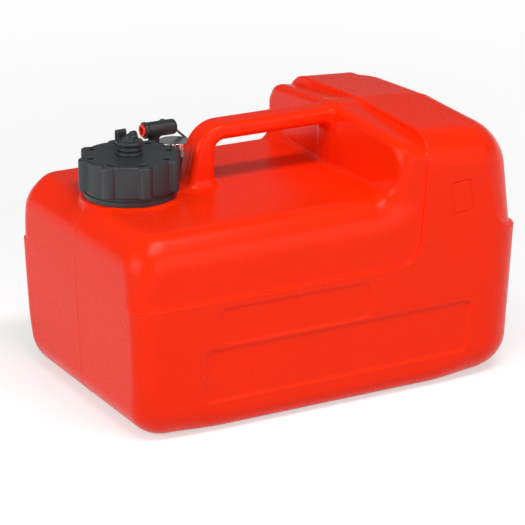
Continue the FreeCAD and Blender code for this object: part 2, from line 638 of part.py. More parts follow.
def panel_tool(points):
    """Cuts a shallow panel with round corners into both long sides."""
    radii = [PANEL_CORNER_RADIUS] * len(points)
    near = prism_along_y(points, radii, -HALF_WIDTH * 2, 0)
    near = near.cut(behind(side_plane(PANEL_DEPTH, 0)))
    return near.fuse(near.mirror(ORIGIN, Vector(0, 1, 0)))


def lower_panel():
    height = LOWER_PANEL_TOP - LOWER_PANEL_BOTTOM
    left = LOWER_PANEL_LEFT - LOWER_PANEL_LEFT_SLANT * height
    right = LOWER_PANEL_RIGHT - LOWER_PANEL_RIGHT_SLANT * height
    return panel_tool([(left, LOWER_PANEL_BOTTOM), (right, LOWER_PANEL_BOTTOM),
                       (LOWER_PANEL_RIGHT, LOWER_PANEL_TOP), (LOWER_PANEL_LEFT, LOWER_PANEL_TOP)])


def upper_panel():
    return panel_tool([(UPPER_PANEL_LEFT, UPPER_PANEL_BOTTOM), (UPPER_PANEL_RIGHT, UPPER_PANEL_BOTTOM),
                       (UPPER_PANEL_RIGHT, UPPER_PANEL_TOP), (UPPER_PANEL_LEFT, UPPER_PANEL_TOP)])


def tank_form(inset):
    """The outer form of the tank, or with an inset its hollow."""
    parts = [lower_body(inset), deck_body(inset), hump_band(inset), hump_rear(inset), ridge(inset),
             step_sweep(inset), handle(inset)]
    form = parts[0]
    for part in parts[1:]:
        form = form.fuse(part)
    return form


def screw_places():
    step = 360.0 / SCREW_COUNT
    return [polar(SCREW_CIRCLE_RADIUS, SCREW_PHASE + step * index) + Vector(FITTING_X, FITTING_Y, 0)
            for index in range(SCREW_COUNT)]


def neck():
    wall = tube(NECK_RADIUS, NECK_BORE_RADIUS, UNDERSIDE_OF_DECK - WALL, NECK_TOP, NECK_X)
    thread_low = NECK_TOP - THREAD_BELOW_RIM - THREAD_PITCH * THREAD_TURNS
    thread = helical_ridge(NECK_RADIUS, NECK_RADIUS + THREAD_DEPTH, thread_low, inwards=False)
    return wall.fuse(thread)


def neck_bead():
    return cylinder(NECK_BEAD_RADIUS, UNDERSIDE_OF_DECK - WALL, DECK_HEIGHT + NECK_BEAD_HEIGHT, NECK_X)


def tank_shell():
    """The blow-moulded shell, hollow and in one piece."""
    outer = tank_form(0).fuse(handle_foot()).fuse(neck_bead())
    outer = outer.cut(lower_panel()).cut(upper_panel())
    shell = outer.cut(tank_form(WALL))
    boss = cylinder(PAD_RADIUS, PAD_TOP - PAD_DEPTH, PAD_TOP, FITTING_X, FITTING_Y)
    shell = shell.fuse(boss).fuse(neck())
    shell = shell.cut(cylinder(NECK_BORE_RADIUS, UNDERSIDE_OF_DECK - WALL - PAST, NECK_TOP + PAST, NECK_X))
    hole_bottom = PAD_TOP - PAD_DEPTH - PAST
    shell = shell.cut(cylinder(FITTING_HOLE_RADIUS, hole_bottom, PAD_TOP + PAST, FITTING_X, FITTING_Y))
    screw_end = FLANGE_TOP - SCREW_LENGTH
    for place in screw_places():
        hole = cylinder(SCREW_RADIUS + CLOSE_FIT, screw_end - SCREW_END_ROOM, PAD_TOP + PAST, place.x, place.y)
        shell = shell.cut(hole)
    return shell


# --- filler cap ---------------------------------------------------------------------------------------
def cap_outer_shell():
    """The lobed shell that the hand turns, with a small window over each snap lug."""
    top_bottom = CAP_TOP - CAP_TOP_THICKNESS
    body = cylinder(CAP_WAIST_RADIUS, CAP_BOTTOM, CAP_TOP, NECK_X)
    step = 360.0 / CAP_LOBES
    for index in range(CAP_LOBES):
        centre = polar(CAP_RADIUS - CAP_LOBE_RADIUS, CAP_LOBE_PHASE + step * index)
        body = body.fuse(cylinder(CAP_LOBE_RADIUS, CAP_BOTTOM, CAP_TOP, NECK_X + centre.x, centre.y))
    body = body.removeSplitter()
    roots = [edge for edge in body.Edges if is_upright(edge)]
    body = filleted(body, CAP_LOBE_ROOT_RADIUS, roots)
    rim = edges_on(body, (plane(0, 0, CAP_TOP, (0, 0, 1), 0),))
    body = filleted(body, CAP_EDGE_RADIUS, rim)
    body = body.cut(cylinder(INSERT_RADIUS + SNAP_CLEARANCE, CAP_BOTTOM - PAST, top_bottom, NECK_X))
    body = body.cut(cylinder(VENT_SHANK_RADIUS + CLOSE_FIT, top_bottom - PAST, CAP_TOP + PAST, NECK_X))
    corner = Vector(NECK_X + WINDOW_RADIUS - WINDOW_WIDTH / 2, -WINDOW_LENGTH / 2, top_bottom - PAST)
    window = Part.makeBox(WINDOW_WIDTH, WINDOW_LENGTH, CAP_TOP_THICKNESS + 2 * PAST, corner)
    for index in range(CAP_LOBES):
        body = body.cut(turned(window, CAP_LOBE_PHASE + step * index, NECK_X, 0))
    return body


def cap_threaded_insert():
    """The closure inside the lobed shell: a threaded wall, a flange below and a disc on top."""
    body = cylinder(INSERT_RADIUS, INSERT_BOTTOM, INSERT_TOP, NECK_X)
    flange_top = INSERT_BOTTOM + INSERT_FLANGE_HEIGHT
    body = body.fuse(cylinder(INSERT_FLANGE_RADIUS, INSERT_BOTTOM, flange_top, NECK_X))
    body = body.cut(cylinder(INSERT_INNER_RADIUS, INSERT_BOTTOM - PAST, INSERT_CEILING, NECK_X))
    body = body.cut(cylinder(VENT_SHANK_RADIUS + CLOSE_FIT, INSERT_CEILING - PAST, INSERT_TOP + PAST, NECK_X))
    half_pitch = THREAD_PITCH / 2
    thread_low = NECK_TOP - THREAD_BELOW_RIM - THREAD_PITCH * THREAD_TURNS - half_pitch
    crest = INSERT_INNER_RADIUS - THREAD_DEPTH
    thread = helical_ridge(INSERT_INNER_RADIUS, crest, thread_low, inwards=True)
    return body.fuse(thread)


def cap_gasket():
    inner = NECK_BORE_RADIUS
    return tube(inner + CAP_GASKET_WIDTH, inner, CAP_GASKET_BOTTOM, INSERT_CEILING, NECK_X)


def vent_stem():
    """The turret through the middle of the cap, with two ring flanges."""
    shank_bottom = INSERT_CEILING - VENT_SHANK_BELOW_INSERT
    body = cylinder(VENT_SHANK_RADIUS, shank_bottom, CAP_TOP + PAST, NECK_X)
    body = body.fuse(cylinder(VENT_FLANGE_RADIUS, CAP_TOP, CAP_TOP + VENT_FLANGE_HEIGHT, NECK_X))
    body = body.fuse(cylinder(VENT_BODY_RADIUS, CAP_TOP, VENT_TOP, NECK_X))
    ring_top = VENT_TOP - VENT_RING_BELOW_TOP
    body = body.fuse(cylinder(VENT_RING_RADIUS, ring_top - VENT_RING_HEIGHT, ring_top, NECK_X))
    socket_floor = KNOB_BOTTOM - KNOB_SPIGOT_LENGTH - KNOB_SPIGOT_ROOM
    body = body.cut(cylinder(VENT_BORE_RADIUS, socket_floor, VENT_TOP + PAST, NECK_X))
    return body.cut(cylinder(VENT_BREATHER_RADIUS, shank_bottom - PAST, VENT_TOP, NECK_X))


def hexagon(across_flats, bottom, top, x, y):
    corner = across_flats / math.sqrt(3)
    points = [Vector(x, y, bottom) + polar(corner, 60 * index) for index in range(7)]
    return Part.Face(Part.makePolygon(points)).extrude(Vector(0, 0, top - bottom))


def vent_nut():
    top = INSERT_CEILING
    nut = hexagon(VENT_NUT_ACROSS_FLATS, top - VENT_NUT_THICKNESS, top, NECK_X, 0)
    return nut.cut(cylinder(VENT_SHANK_RADIUS + CLOSE_FIT, top - VENT_NUT_THICKNESS - PAST, top + PAST, NECK_X))


def vent_seal():
    inner = VENT_BORE_RADIUS + RUNNING_CLEARANCE
    low = VENT_TOP + SEAL_GAP
    return tube(inner + VENT_SEAL_WIDTH, inner, low, KNOB_BOTTOM, NECK_X)


def vent_knob():
    """The thumb turn that opens the vent: spigot, disc, hub and a winged fin."""
    spigot_radius = VENT_BORE_RADIUS - RUNNING_CLEARANCE
    body = cylinder(KNOB_DISC_RADIUS, KNOB_BOTTOM, KNOB_DISC_TOP, NECK_X)
    body = filleted(body, KNOB_DISC_EDGE_RADIUS, edges_on(body, (plane(0, 0, KNOB_DISC_TOP, (0, 0, 1), 0),)))
    body = body.fuse(cylinder(spigot_radius, KNOB_BOTTOM - KNOB_SPIGOT_LENGTH, KNOB_BOTTOM + PAST, NECK_X))
    body = body.fuse(cylinder(KNOB_HUB_RADIUS, KNOB_DISC_TOP - PAST, KNOB_HUB_TOP, NECK_X))
    half = KNOB_WING_LENGTH / 2
    low = KNOB_DISC_TOP - KNOB_WING_ROOT
    high = KNOB_DISC_TOP + KNOB_WING_HEIGHT
    edge = KNOB_WING_EDGE_RADIUS
    outline = [(-half, low), (half, low), (half * KNOB_WING_CREST_END, high),
               (half * KNOB_WING_CREST_START, high), (-half * KNOB_WING_TAIL, low + KNOB_WING_TAIL_HEIGHT)]
    fin = prism_along_y(outline, [0, 0, edge, edge, KNOB_WING_TAIL_RADIUS],
                        -KNOB_WING_THICKNESS / 2, KNOB_WING_THICKNESS / 2)
    pocket = [(half * KNOB_WING_POCKET_START, low + KNOB_WING_BORDER),
              (half * KNOB_WING_POCKET_END, low + KNOB_WING_BORDER),
              (half * KNOB_WING_POCKET_TIP, high - KNOB_WING_BORDER)]
    for side in (-1, 1):
        outside = side * (KNOB_WING_THICKNESS / 2 + PAST)
        inside = side * (KNOB_WING_THICKNESS / 2 - KNOB_WING_RECESS)
        corners = [KNOB_WING_POCKET_RADIUS] * len(pocket)
        fin = fin.cut(prism_along_y(pocket, corners, min(outside, inside), max(outside, inside)))
    fin.translate(Vector(NECK_X, 0, 0))
    return body.fuse(turned(fin, KNOB_WING_AZIMUTH, NECK_X, 0)).removeSplitter()


def vent_strap():
    """A flat strap: an eye in the stem's groove, and an arch that stands just outside the knob."""
    low = CAP_TOP + VENT_FLANGE_HEIGHT
    eye_top = low + VENT_STRAP_THICKNESS
    inner = KNOB_DISC_RADIUS + SEAL_GAP
    outer = inner + VENT_STRAP_DEPTH
    high = CAP_TOP + VENT_STRAP_TOP
    half = VENT_STRAP_WIDTH / 2
    thickness = VENT_STRAP_THICKNESS
    bend = VENT_STRAP_BEND_RADIUS
    foot = prism_along_y([(0, low), (outer, low), (outer, eye_top), (0, eye_top)], [0] * 4, -half, half)
    outline = [(inner, low), (outer, low), (outer, high), (inner, high)]
    arch = prism_along_y(outline, [0, 0, bend, bend], -half, half)
    hollow = [(inner + thickness, eye_top), (outer - thickness, eye_top),
              (outer - thickness, high - thickness), (inner + thickness, high - thickness)]
    inside_bend = bend - thickness
    arch = arch.cut(prism_along_y(hollow, [0, 0, inside_bend, inside_bend], -half - PAST, half + PAST))
    arm = foot.fuse(arch)
    arm.translate(Vector(NECK_X, 0, 0))
    eye = cylinder(VENT_RING_RADIUS, low, eye_top, NECK_X)
    strap = eye.fuse(turned(arm, VENT_STRAP_AZIMUTH, NECK_X, 0))
    return strap.cut(cylinder(VENT_BODY_RADIUS + CLOSE_FIT, low - PAST, high + PAST, NECK_X)).removeSplitter()


# --- fuel fitting -------------------------------------------------------------------------------------
def withdrawal_flange():
    """The fitting's base: a flange on the pad, a plug down into the tank and the gauge's low drum."""
    body = cylinder(FLANGE_RADIUS, FLANGE_BOTTOM, FLANGE_TOP, FITTING_X, FITTING_Y)
    plug_radius = FITTING_HOLE_RADIUS - FLANGE_PLUG_CLEARANCE
    body = body.fuse(cylinder(plug_radius, PLUG_BOTTOM, FLANGE_TOP, FITTING_X, FITTING_Y))
    body = body.fuse(cylinder(GAUGE_RADIUS, FLANGE_BOTTOM, GAUGE_BASE_TOP, GAUGE_X, GAUGE_Y))
    above = FLANGE_TOP + PAST
    below = PLUG_BOTTOM - PAST
    for place in screw_places():
        body = body.cut(cylinder(SCREW_RADIUS + CLOSE_FIT, FLANGE_BOTTOM - PAST, above, place.x, place.y))
    shaft_hole = cylinder(SHAFT_RADIUS + RUNNING_CLEARANCE, below, GAUGE_BASE_TOP + PAST, GAUGE_X, GAUGE_Y)
    body = body.cut(shaft_hole)
    body = body.cut(cylinder(OUTLET_LEG_RADIUS + CLOSE_FIT, FLANGE_BOTTOM, above, OUTLET_X, OUTLET_Y))
    body = body.cut(cylinder(OUTLET_PASSAGE_RADIUS, below, above, OUTLET_X, OUTLET_Y))
    socket = cylinder(PICKUP_TUBE_RADIUS + CLOSE_FIT, below, PLUG_BOTTOM + PICKUP_TUBE_SOCKET,
                      OUTLET_X, OUTLET_Y)
    return body.cut(socket)


def withdrawal_gasket():
    outer = FLANGE_RADIUS - FLANGE_GASKET_INSET
    ring = tube(outer, FITTING_HOLE_RADIUS, PAD_TOP, FLANGE_BOTTOM, FITTING_X, FITTING_Y)
    for place in screw_places():
        hole = cylinder(SCREW_RADIUS + CLOSE_FIT, PAD_TOP - PAST, FLANGE_BOTTOM + PAST, place.x, place.y)
        ring = ring.cut(hole)
    return ring


def flange_screws():
    """Five slotted pan-head screws through the flange into the pad."""
    screws = []
    for index, place in enumerate(screw_places()):
        head_top = FLANGE_TOP + SCREW_HEAD_HEIGHT
        screw = cylinder(SCREW_RADIUS, FLANGE_TOP - SCREW_LENGTH, FLANGE_TOP + PAST, place.x, place.y)
        head = cylinder(SCREW_HEAD_RADIUS, FLANGE_TOP, head_top, place.x, place.y)
        head = filleted(head, SCREW_HEAD_EDGE_RADIUS, edges_on(head, (plane(0, 0, head_top, (0, 0, 1), 0),)))
        slot = Part.makeBox(4 * SCREW_HEAD_RADIUS, SCREW_SLOT_WIDTH, SCREW_SLOT_DEPTH + PAST,
                            Vector(place.x - 2 * SCREW_HEAD_RADIUS, place.y - SCREW_SLOT_WIDTH / 2,
                                   head_top - SCREW_SLOT_DEPTH))
        screws.append(screw.fuse(head).cut(turned(slot, SCREW_SLOT_TURN * index, place.x, place.y)))
    return Part.makeCompound(screws)


def outlet_arm():
    """The horizontal arm as one turned form, with a lip at its mouth and a rounded closed end."""
    lip = OUTLET_ARM_RADIUS + OUTLET_MOUTH_LIP / 2
    lip_end = MOUTH_X + 2 * OUTLET_MOUTH_LIP
    outline = [(MOUTH_X, 0), (MOUTH_X, lip), (lip_end, lip), (lip_end, OUTLET_ARM_RADIUS),
               (TAIL_X, OUTLET_ARM_RADIUS), (TAIL_X, 0), (MOUTH_X, 0)]
    profile = Part.Face(Part.makePolygon([Vector(x, OUTLET_Y, ARM_Z + radius) for x, radius in outline]))
    arm = profile.revolve(Vector(0, OUTLET_Y, ARM_Z), Vector(1, 0, 0), 360)
    return filleted(arm, OUTLET_NOSE_RADIUS, edges_on(arm, (plane(TAIL_X, 0, 0, (1, 0, 0), 0),)))


def outlet_elbow():
    """A leg from the flange, and a horizontal arm with its mouth towards the filler cap."""
    leg = cylinder(OUTLET_LEG_RADIUS, FLANGE_BOTTOM, ARM_Z, OUTLET_X, OUTLET_Y)
    post_y = OUTLET_Y + OUTLET_ARM_RADIUS
    post = Part.makeCylinder(STRAP_POST_RADIUS, STRAP_WIDTH + 2 * STRAP_POST_HEAD,
                             Vector(POST_X, post_y - STRAP_POST_HEAD, ARM_Z), Vector(0, 1, 0))
    head = Part.makeCylinder(STRAP_POST_RADIUS + STRAP_POST_HEAD, STRAP_POST_HEAD,
                             Vector(POST_X, post_y + STRAP_WIDTH + CLOSE_FIT, ARM_Z), Vector(0, 1, 0))
    body = outlet_arm().fuse(leg).fuse(post).fuse(head)
    bore_end = MOUTH_X + PLUG_LENGTH + PLUG_ROOM
    body = body.cut(rod_along_x(OUTLET_BORE_RADIUS, MOUTH_X - PAST, bore_end, OUTLET_Y, ARM_Z))
    body = body.cut(rod_along_x(OUTLET_PASSAGE_RADIUS, bore_end - PAST, OUTLET_X, OUTLET_Y, ARM_Z))
    return body.cut(cylinder(OUTLET_PASSAGE_RADIUS, FLANGE_BOTTOM - PAST, ARM_Z, OUTLET_X, OUTLET_Y))


def outlet_plug():
    """The hollow red plug that closes the outlet's mouth."""
    face = MOUTH_X - SEAL_GAP
    body = rod_along_x(OUTLET_BORE_RADIUS - RUNNING_CLEARANCE, face, MOUTH_X + PLUG_LENGTH, OUTLET_Y, ARM_Z)
    front = face - PLUG_FLANGE_THICKNESS
    body = body.fuse(rod_along_x(PLUG_FLANGE_RADIUS, front, face, OUTLET_Y, ARM_Z))
    hollow_radius = OUTLET_BORE_RADIUS - RUNNING_CLEARANCE - PLUG_WALL
    hollow_end = MOUTH_X + PLUG_LENGTH - PLUG_WALL
    return body.cut(rod_along_x(hollow_radius, front - PAST, hollow_end, OUTLET_Y, ARM_Z))


def outlet_strap():
    """A thin strap from the arm's closed end, out past the gauge and down to the flange."""
    low_y = OUTLET_Y + OUTLET_ARM_RADIUS
    eye = Part.makeCylinder(STRAP_EYE_RADIUS, STRAP_WIDTH, Vector(POST_X, low_y, ARM_Z), Vector(0, 1, 0))
    foot_end = FITTING_X + STRAP_FOOT_X
    foot_start = foot_end - STRAP_FOOT_LENGTH
    knee_x = FITTING_X + STRAP_KNEE_X
    knee_z = FLANGE_TOP + STRAP_KNEE_HEIGHT
    thick = STRAP_THICKNESS
    upper, lower = STRAP_UPPER_START, STRAP_LOWER_START
    band = [(POST_X + STRAP_EYE_RADIUS * upper[0], ARM_Z + STRAP_EYE_RADIUS * upper[1]),
            (knee_x + thick, knee_z),
            (foot_start + thick, FLANGE_TOP + thick), (foot_end, FLANGE_TOP + thick), (foot_end, FLANGE_TOP),
            (foot_start, FLANGE_TOP), (knee_x - thick / 4, knee_z - thick / 2),
            (POST_X + STRAP_EYE_RADIUS * lower[0], ARM_Z + STRAP_EYE_RADIUS * lower[1])]
    strap = eye.fuse(prism_along_y(band, [0] * len(band), low_y, low_y + STRAP_WIDTH))
    hole = Part.makeCylinder(STRAP_POST_RADIUS + CLOSE_FIT, STRAP_WIDTH + 2 * PAST,
                             Vector(POST_X, low_y - PAST, ARM_Z), Vector(0, 1, 0))
    return strap.cut(hole).removeSplitter()


def pickup_tube():
    low = WALL + PICKUP_TUBE_CLEARANCE
    high = PLUG_BOTTOM + PICKUP_TUBE_SOCKET
    return tube(PICKUP_TUBE_RADIUS, PICKUP_TUBE_RADIUS - PICKUP_TUBE_WALL, low, high, OUTLET_X, OUTLET_Y)


def pickup_strainer():
    """A slotted cup over the foot of the pickup tube."""
    low = WALL + STRAINER_GAP
    high = low + STRAINER_LENGTH
    cup = cylinder(STRAINER_RADIUS, low, high, OUTLET_X, OUTLET_Y)
    cup = cup.cut(cylinder(STRAINER_RADIUS - STRAINER_WALL, low + STRAINER_WALL, high - 2 * STRAINER_WALL,
                           OUTLET_X, OUTLET_Y))
    throat = high - 3 * STRAINER_WALL
    cup = cup.cut(cylinder(PICKUP_TUBE_RADIUS + CLOSE_FIT, throat, high + PAST, OUTLET_X, OUTLET_Y))
    slot_low = low + 2 * STRAINER_WALL
    slot_high = high - 5 * STRAINER_WALL
    slot = Part.makeBox(2 * (STRAINER_RADIUS + PAST), STRAINER_SLOT_WIDTH, slot_high - slot_low,
                        Vector(OUTLET_X - STRAINER_RADIUS - PAST, OUTLET_Y - STRAINER_SLOT_WIDTH / 2, slot_low))
    for index in range(STRAINER_SLOTS // 2):
        cup = cup.cut(turned(slot, 360.0 / STRAINER_SLOTS * index, OUTLET_X, OUTLET_Y))
    return cup


# --- fuel gauge ---------------------------------------------------------------------------------------
def gauge_seal():
    return tube(GAUGE_RADIUS, GAUGE_RADIUS - GAUGE_SEAL_WIDTH, GAUGE_BASE_TOP, WINDOW_BOTTOM, GAUGE_X, GAUGE_Y)


def gauge_window():
    """A clear cylinder that shows the drum from the side."""
    inner = GAUGE_RADIUS - GAUGE_WINDOW_WALL
    return tube(GAUGE_RADIUS, inner, WINDOW_BOTTOM, WINDOW_TOP, GAUGE_X, GAUGE_Y)


def gauge_bezel():
    """A fluted metal cap on top of the window."""
    low = BEZEL_TOP - BEZEL_HEIGHT
    body = cylinder(BEZEL_RADIUS, low, BEZEL_TOP, GAUGE_X, GAUGE_Y)
    body = filleted(body, BEZEL_FLUTE_RADIUS, edges_on(body, (plane(0, 0, BEZEL_TOP, (0, 0, 1), 0),)))
    body = body.cut(cylinder(GAUGE_RADIUS + CLOSE_FIT, low - PAST, WINDOW_TOP, GAUGE_X, GAUGE_Y))
    step = 360.0 / BEZEL_FLUTES
    flute_top = BEZEL_TOP - BEZEL_TOP_THICKNESS
    flutes = []
    for index in range(BEZEL_FLUTES):
        place = polar(BEZEL_RADIUS + BEZEL_FLUTE_RADIUS / 2, step * index) + Vector(GAUGE_X, GAUGE_Y, 0)
        flutes.append(cylinder(BEZEL_FLUTE_RADIUS, low - PAST, flute_top, place.x, place.y))
    return body.cut(Part.makeCompound(flutes))


def gauge_drum():
    """A drum with raised plain ticks, on the shaft of the twisted strip."""
    low = GAUGE_BASE_TOP + DRUM_GAP
    high = WINDOW_TOP - DRUM_GAP
    drum = cylinder(DRUM_RADIUS, low, high, GAUGE_X, GAUGE_Y)
    drum = drum.cut(cylinder(DRUM_RADIUS - DRUM_WALL, low - PAST, high - DRUM_WALL, GAUGE_X, GAUGE_Y))
    hub = cylinder(2 * SHAFT_RADIUS, low, high, GAUGE_X, GAUGE_Y)
    drum = drum.fuse(hub)
    drum = drum.cut(cylinder(SHAFT_RADIUS + CLOSE_FIT, low - PAST, high - DRUM_WALL, GAUGE_X, GAUGE_Y))
    for index in range(DRUM_TICKS):
        tall = DRUM_LONG_TICK if index % 2 == 0 else DRUM_SHORT_TICK
        corner = Vector(GAUGE_X + DRUM_RADIUS - DRUM_WALL / 2, GAUGE_Y - DRUM_WALL / 2, low + DRUM_GAP)
        tick = Part.makeBox(DRUM_WALL, DRUM_WALL, tall, corner)
        angle = DRUM_TICK_START + DRUM_TICK_SWEEP * index / (DRUM_TICKS - 1)
        drum = drum.fuse(turned(tick, angle, GAUGE_X, GAUGE_Y))
    return drum


def strip_section(height):
    """The twisted strip's section: a rectangle turned in step with its height."""
    share = (height - STRIP_BOTTOM) / (STRIP_TOP - STRIP_BOTTOM)
    wide = STRIP_WIDTH / 2
    thin = STRIP_THICKNESS / 2
    corners = [(-wide, -thin), (wide, -thin), (wide, thin), (-wide, thin), (-wide, -thin)]
    wire = Part.makePolygon([Vector(GAUGE_X + x, GAUGE_Y + y, height) for x, y in corners])
    return turned(wire, STRIP_TWIST * share, GAUGE_X, GAUGE_Y)


def gauge_twisted_strip():
    """The strip that the float turns as it climbs, with a round shaft at each end."""
    rise = (STRIP_TOP - STRIP_BOTTOM) / STRIP_SECTIONS
    sections = [strip_section(STRIP_BOTTOM + rise * index) for index in range(STRIP_SECTIONS + 1)]
    strip = Part.makeLoft(sections, True, False)
    foot = cylinder(SHAFT_RADIUS, GUIDE_FOOT_BOTTOM + GUIDE_FOOT_THICKNESS / 2, STRIP_BOTTOM, GAUGE_X, GAUGE_Y)
    head = cylinder(SHAFT_RADIUS, STRIP_TOP, WINDOW_TOP - DRUM_GAP - DRUM_WALL, GAUGE_X, GAUGE_Y)
    return strip.fuse(foot).fuse(head)


def gauge_float():
    """The foam float, with a slot that the twisted strip runs through and holes for the guide rods."""
    top = FLOAT_BOTTOM + FLOAT_HEIGHT
    body = cylinder(FLOAT_RADIUS, FLOAT_BOTTOM, top, GAUGE_X, GAUGE_Y)
    body = body.cut(cylinder(FLOAT_BORE_RADIUS, FLOAT_BOTTOM - PAST, top - FLOAT_WEB, GAUGE_X, GAUGE_Y))
    middle = top - FLOAT_WEB / 2
    share = (middle - STRIP_BOTTOM) / (STRIP_TOP - STRIP_BOTTOM)
    long_side = STRIP_WIDTH + 2 * FLOAT_SLOT_CLEARANCE
    short_side = STRIP_THICKNESS + 2 * FLOAT_SLOT_CLEARANCE
    slot = Part.makeBox(long_side, short_side, FLOAT_WEB + 2 * PAST,
                        Vector(GAUGE_X - long_side / 2, GAUGE_Y - short_side / 2, top - FLOAT_WEB - PAST))
    body = body.cut(turned(slot, STRIP_TWIST * share, GAUGE_X, GAUGE_Y))
    for side in (-1, 1):
        body = body.cut(cylinder(ROD_RADIUS + ROD_CLEARANCE, FLOAT_BOTTOM - PAST, top + PAST,
                                 GAUGE_X, GAUGE_Y + side * ROD_OFFSET))
    return body


def gauge_frame():
    """Two guide rods under the flange and the foot that carries the strip's lower end."""
    half = GUIDE_FOOT_WIDTH / 2
    reach = ROD_OFFSET + half
    foot = Part.makeBox(GUIDE_FOOT_WIDTH, 2 * reach, GUIDE_FOOT_THICKNESS,
                        Vector(GAUGE_X - half, GAUGE_Y - reach, GUIDE_FOOT_BOTTOM))
    frame = foot
    for side in (-1, 1):
        rod = cylinder(ROD_RADIUS, GUIDE_FOOT_BOTTOM, PLUG_BOTTOM, GAUGE_X, GAUGE_Y + side * ROD_OFFSET)
        frame = frame.fuse(rod)
    pivot_floor = GUIDE_FOOT_BOTTOM + GUIDE_FOOT_THICKNESS / 2 - RUNNING_CLEARANCE
    pivot = cylinder(SHAFT_RADIUS + RUNNING_CLEARANCE, pivot_floor, GUIDE_FOOT_TOP + PAST, GAUGE_X, GAUGE_Y)
    return frame.cut(pivot)


NODES = {
    "tank_shell": tank_shell,
    "cap_outer_shell": cap_outer_shell,
    "cap_threaded_insert": cap_threaded_insert,
    "cap_gasket": cap_gasket,
    "vent_stem": vent_stem,
    "vent_nut": vent_nut,
    "vent_seal": vent_seal,
    "vent_knob": vent_knob,
    "vent_strap": vent_strap,
    "withdrawal_flange": withdrawal_flange,
    "withdrawal_gasket": withdrawal_gasket,
    "flange_screws": flange_screws,
    "outlet_elbow": outlet_elbow,
    "outlet_plug": outlet_plug,
    "outlet_strap": outlet_strap,
    "pickup_tube": pickup_tube,
    "pickup_strainer": pickup_strainer,
    "gauge_seal": gauge_seal,
    "gauge_window": gauge_window,
    "gauge_bezel": gauge_bezel,
    "gauge_drum": gauge_drum,
    "gauge_twisted_strip": gauge_twisted_strip,
    "gauge_float": gauge_float,
    "gauge_frame": gauge_frame,
}


def main():
    os.makedirs("parts", exist_ok=True)
    for name, make in NODES.items():
        shape = make()
        print(f"{name}: {len(shape.Solids)} solids, {shape.Volume / 1000:.2f} cm3, valid {shape.isValid()}")
        shape.exportStep(f"parts/{name}.step")
    hollow = tank_form(WALL).Volume / 1e6
    print(f"hollow: {hollow:.2f} litres to the deck, without the neck")


main()
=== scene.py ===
"""Looks of the outboard fuel tank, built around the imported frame.

The tank and the small moulded pieces are grown from distance fields, so that their soft edges and hollows
run into each other. Lengths are millimetres until a mesh is made.
"""

import json
import math

import bpy
import numpy as np
from mathutils import Matrix, Vector

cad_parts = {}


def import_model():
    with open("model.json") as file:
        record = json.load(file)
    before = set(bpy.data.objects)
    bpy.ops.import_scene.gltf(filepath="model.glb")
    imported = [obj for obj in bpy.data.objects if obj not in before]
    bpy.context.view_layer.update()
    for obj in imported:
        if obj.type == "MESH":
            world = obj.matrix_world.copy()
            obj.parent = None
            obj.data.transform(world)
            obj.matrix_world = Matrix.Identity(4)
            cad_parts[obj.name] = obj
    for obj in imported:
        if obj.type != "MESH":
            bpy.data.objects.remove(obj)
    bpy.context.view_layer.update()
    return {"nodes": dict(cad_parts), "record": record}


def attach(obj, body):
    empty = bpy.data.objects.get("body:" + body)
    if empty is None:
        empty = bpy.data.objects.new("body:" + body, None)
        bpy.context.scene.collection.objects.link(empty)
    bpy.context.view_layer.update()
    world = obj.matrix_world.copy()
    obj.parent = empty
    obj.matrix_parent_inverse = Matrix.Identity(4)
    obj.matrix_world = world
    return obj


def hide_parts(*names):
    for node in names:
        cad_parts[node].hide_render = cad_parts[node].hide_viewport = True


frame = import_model()
MM = 0.001

# --- sizes, in millimetres ----------------------------------------------------------------------------
# the moulded tank
END_X = 183.4
HALF_WIDTH = 114.8
STEP_Z = 112.2                          # top of the thick lower body
DECK_Z = 170.0
TOP_Z = 224.5
END_DRAFT, SIDE_DRAFT = 0.043, 0.0206   # lean of the ends and the sides, per unit of height
UPPER_INSET, BACK_INSET = 2.6, 3.6      # of the upper body's and the rear recess's sides
SKIN_EDGE = 0.9                         # rounding along the ledge and the proud band
CORNER, REAR_CORNER = 18.5, 41.0        # vertical corners, seen from above
RIDGE_X, BAND_X = 49.3, 75.0            # fronts of the ridge and of the band behind it
JOIN_X, JOIN_Z = 98.0, 104.0            # hidden planes where the upper body and the rear recess end
PANEL_LOWER = dict(left=-123.8, right=124.8, low=27.3, high=71.1, slant_left=0.035, slant_right=0.084,
                   depth=1.7, corner=5.5, edge=2.6)
PANEL_UPPER = dict(left=-111.6, right=26.2, low=74.2, high=104.7, slant_left=0.0, slant_right=0.0,
                   depth=1.2, corner=6.5, edge=2.2)
BOX_X, BOX_Z, BOX_RAISE = 112.3, 163.6, 0.9
PARTING_HEIGHT, PARTING_WIDTH = 0.3, 0.7

# the handle
HANDLE_TOP = 222.3
HANDLE_UNDER = 208.1
LEG_FRONT_X, LEG_BACK_X = -76.4, -59.9
GRIP_HALF_WIDTH = 12.5

# the filler's neck and cap
NECK_X = -132.4
NECK_TOP = 196.4
NECK_RADIUS, BORE_RADIUS = 31.0, 27.0
BEAD_RADIUS, BEAD_TOP = 39.6, 170.9
THREAD_BOTTOM = 183.4
THREAD_PITCH, THREAD_HEIGHT, THREAD_TURNS = 6.0, 1.9, 1.5
CAP_BOTTOM, CAP_TOP = 179.0, 205.3
CAP_RADIUS, CAP_HOLLOW_RADIUS, CAP_CEILING = 38.8, 36.75, 202.5
LOBE_PLACE, LOBE_RADIUS = 37.5, 5.7
LOBE_PHASE, LOBE_STEP = -7.4, 45.0      # degrees
GROOVES = (17.5, 22.5, 28.0)            # radii of the rings in the cap's top
WINDOW_PLACE, WINDOW_HALF = 33.3, (2.5, 3.3)

# the vent in the middle of the cap
STEM_TOP = 212.7
KNOB_BOTTOM, KNOB_TOP = 213.8, 216.6
WING_TOP = 224.0
WING_TURN = math.radians(-12.0)

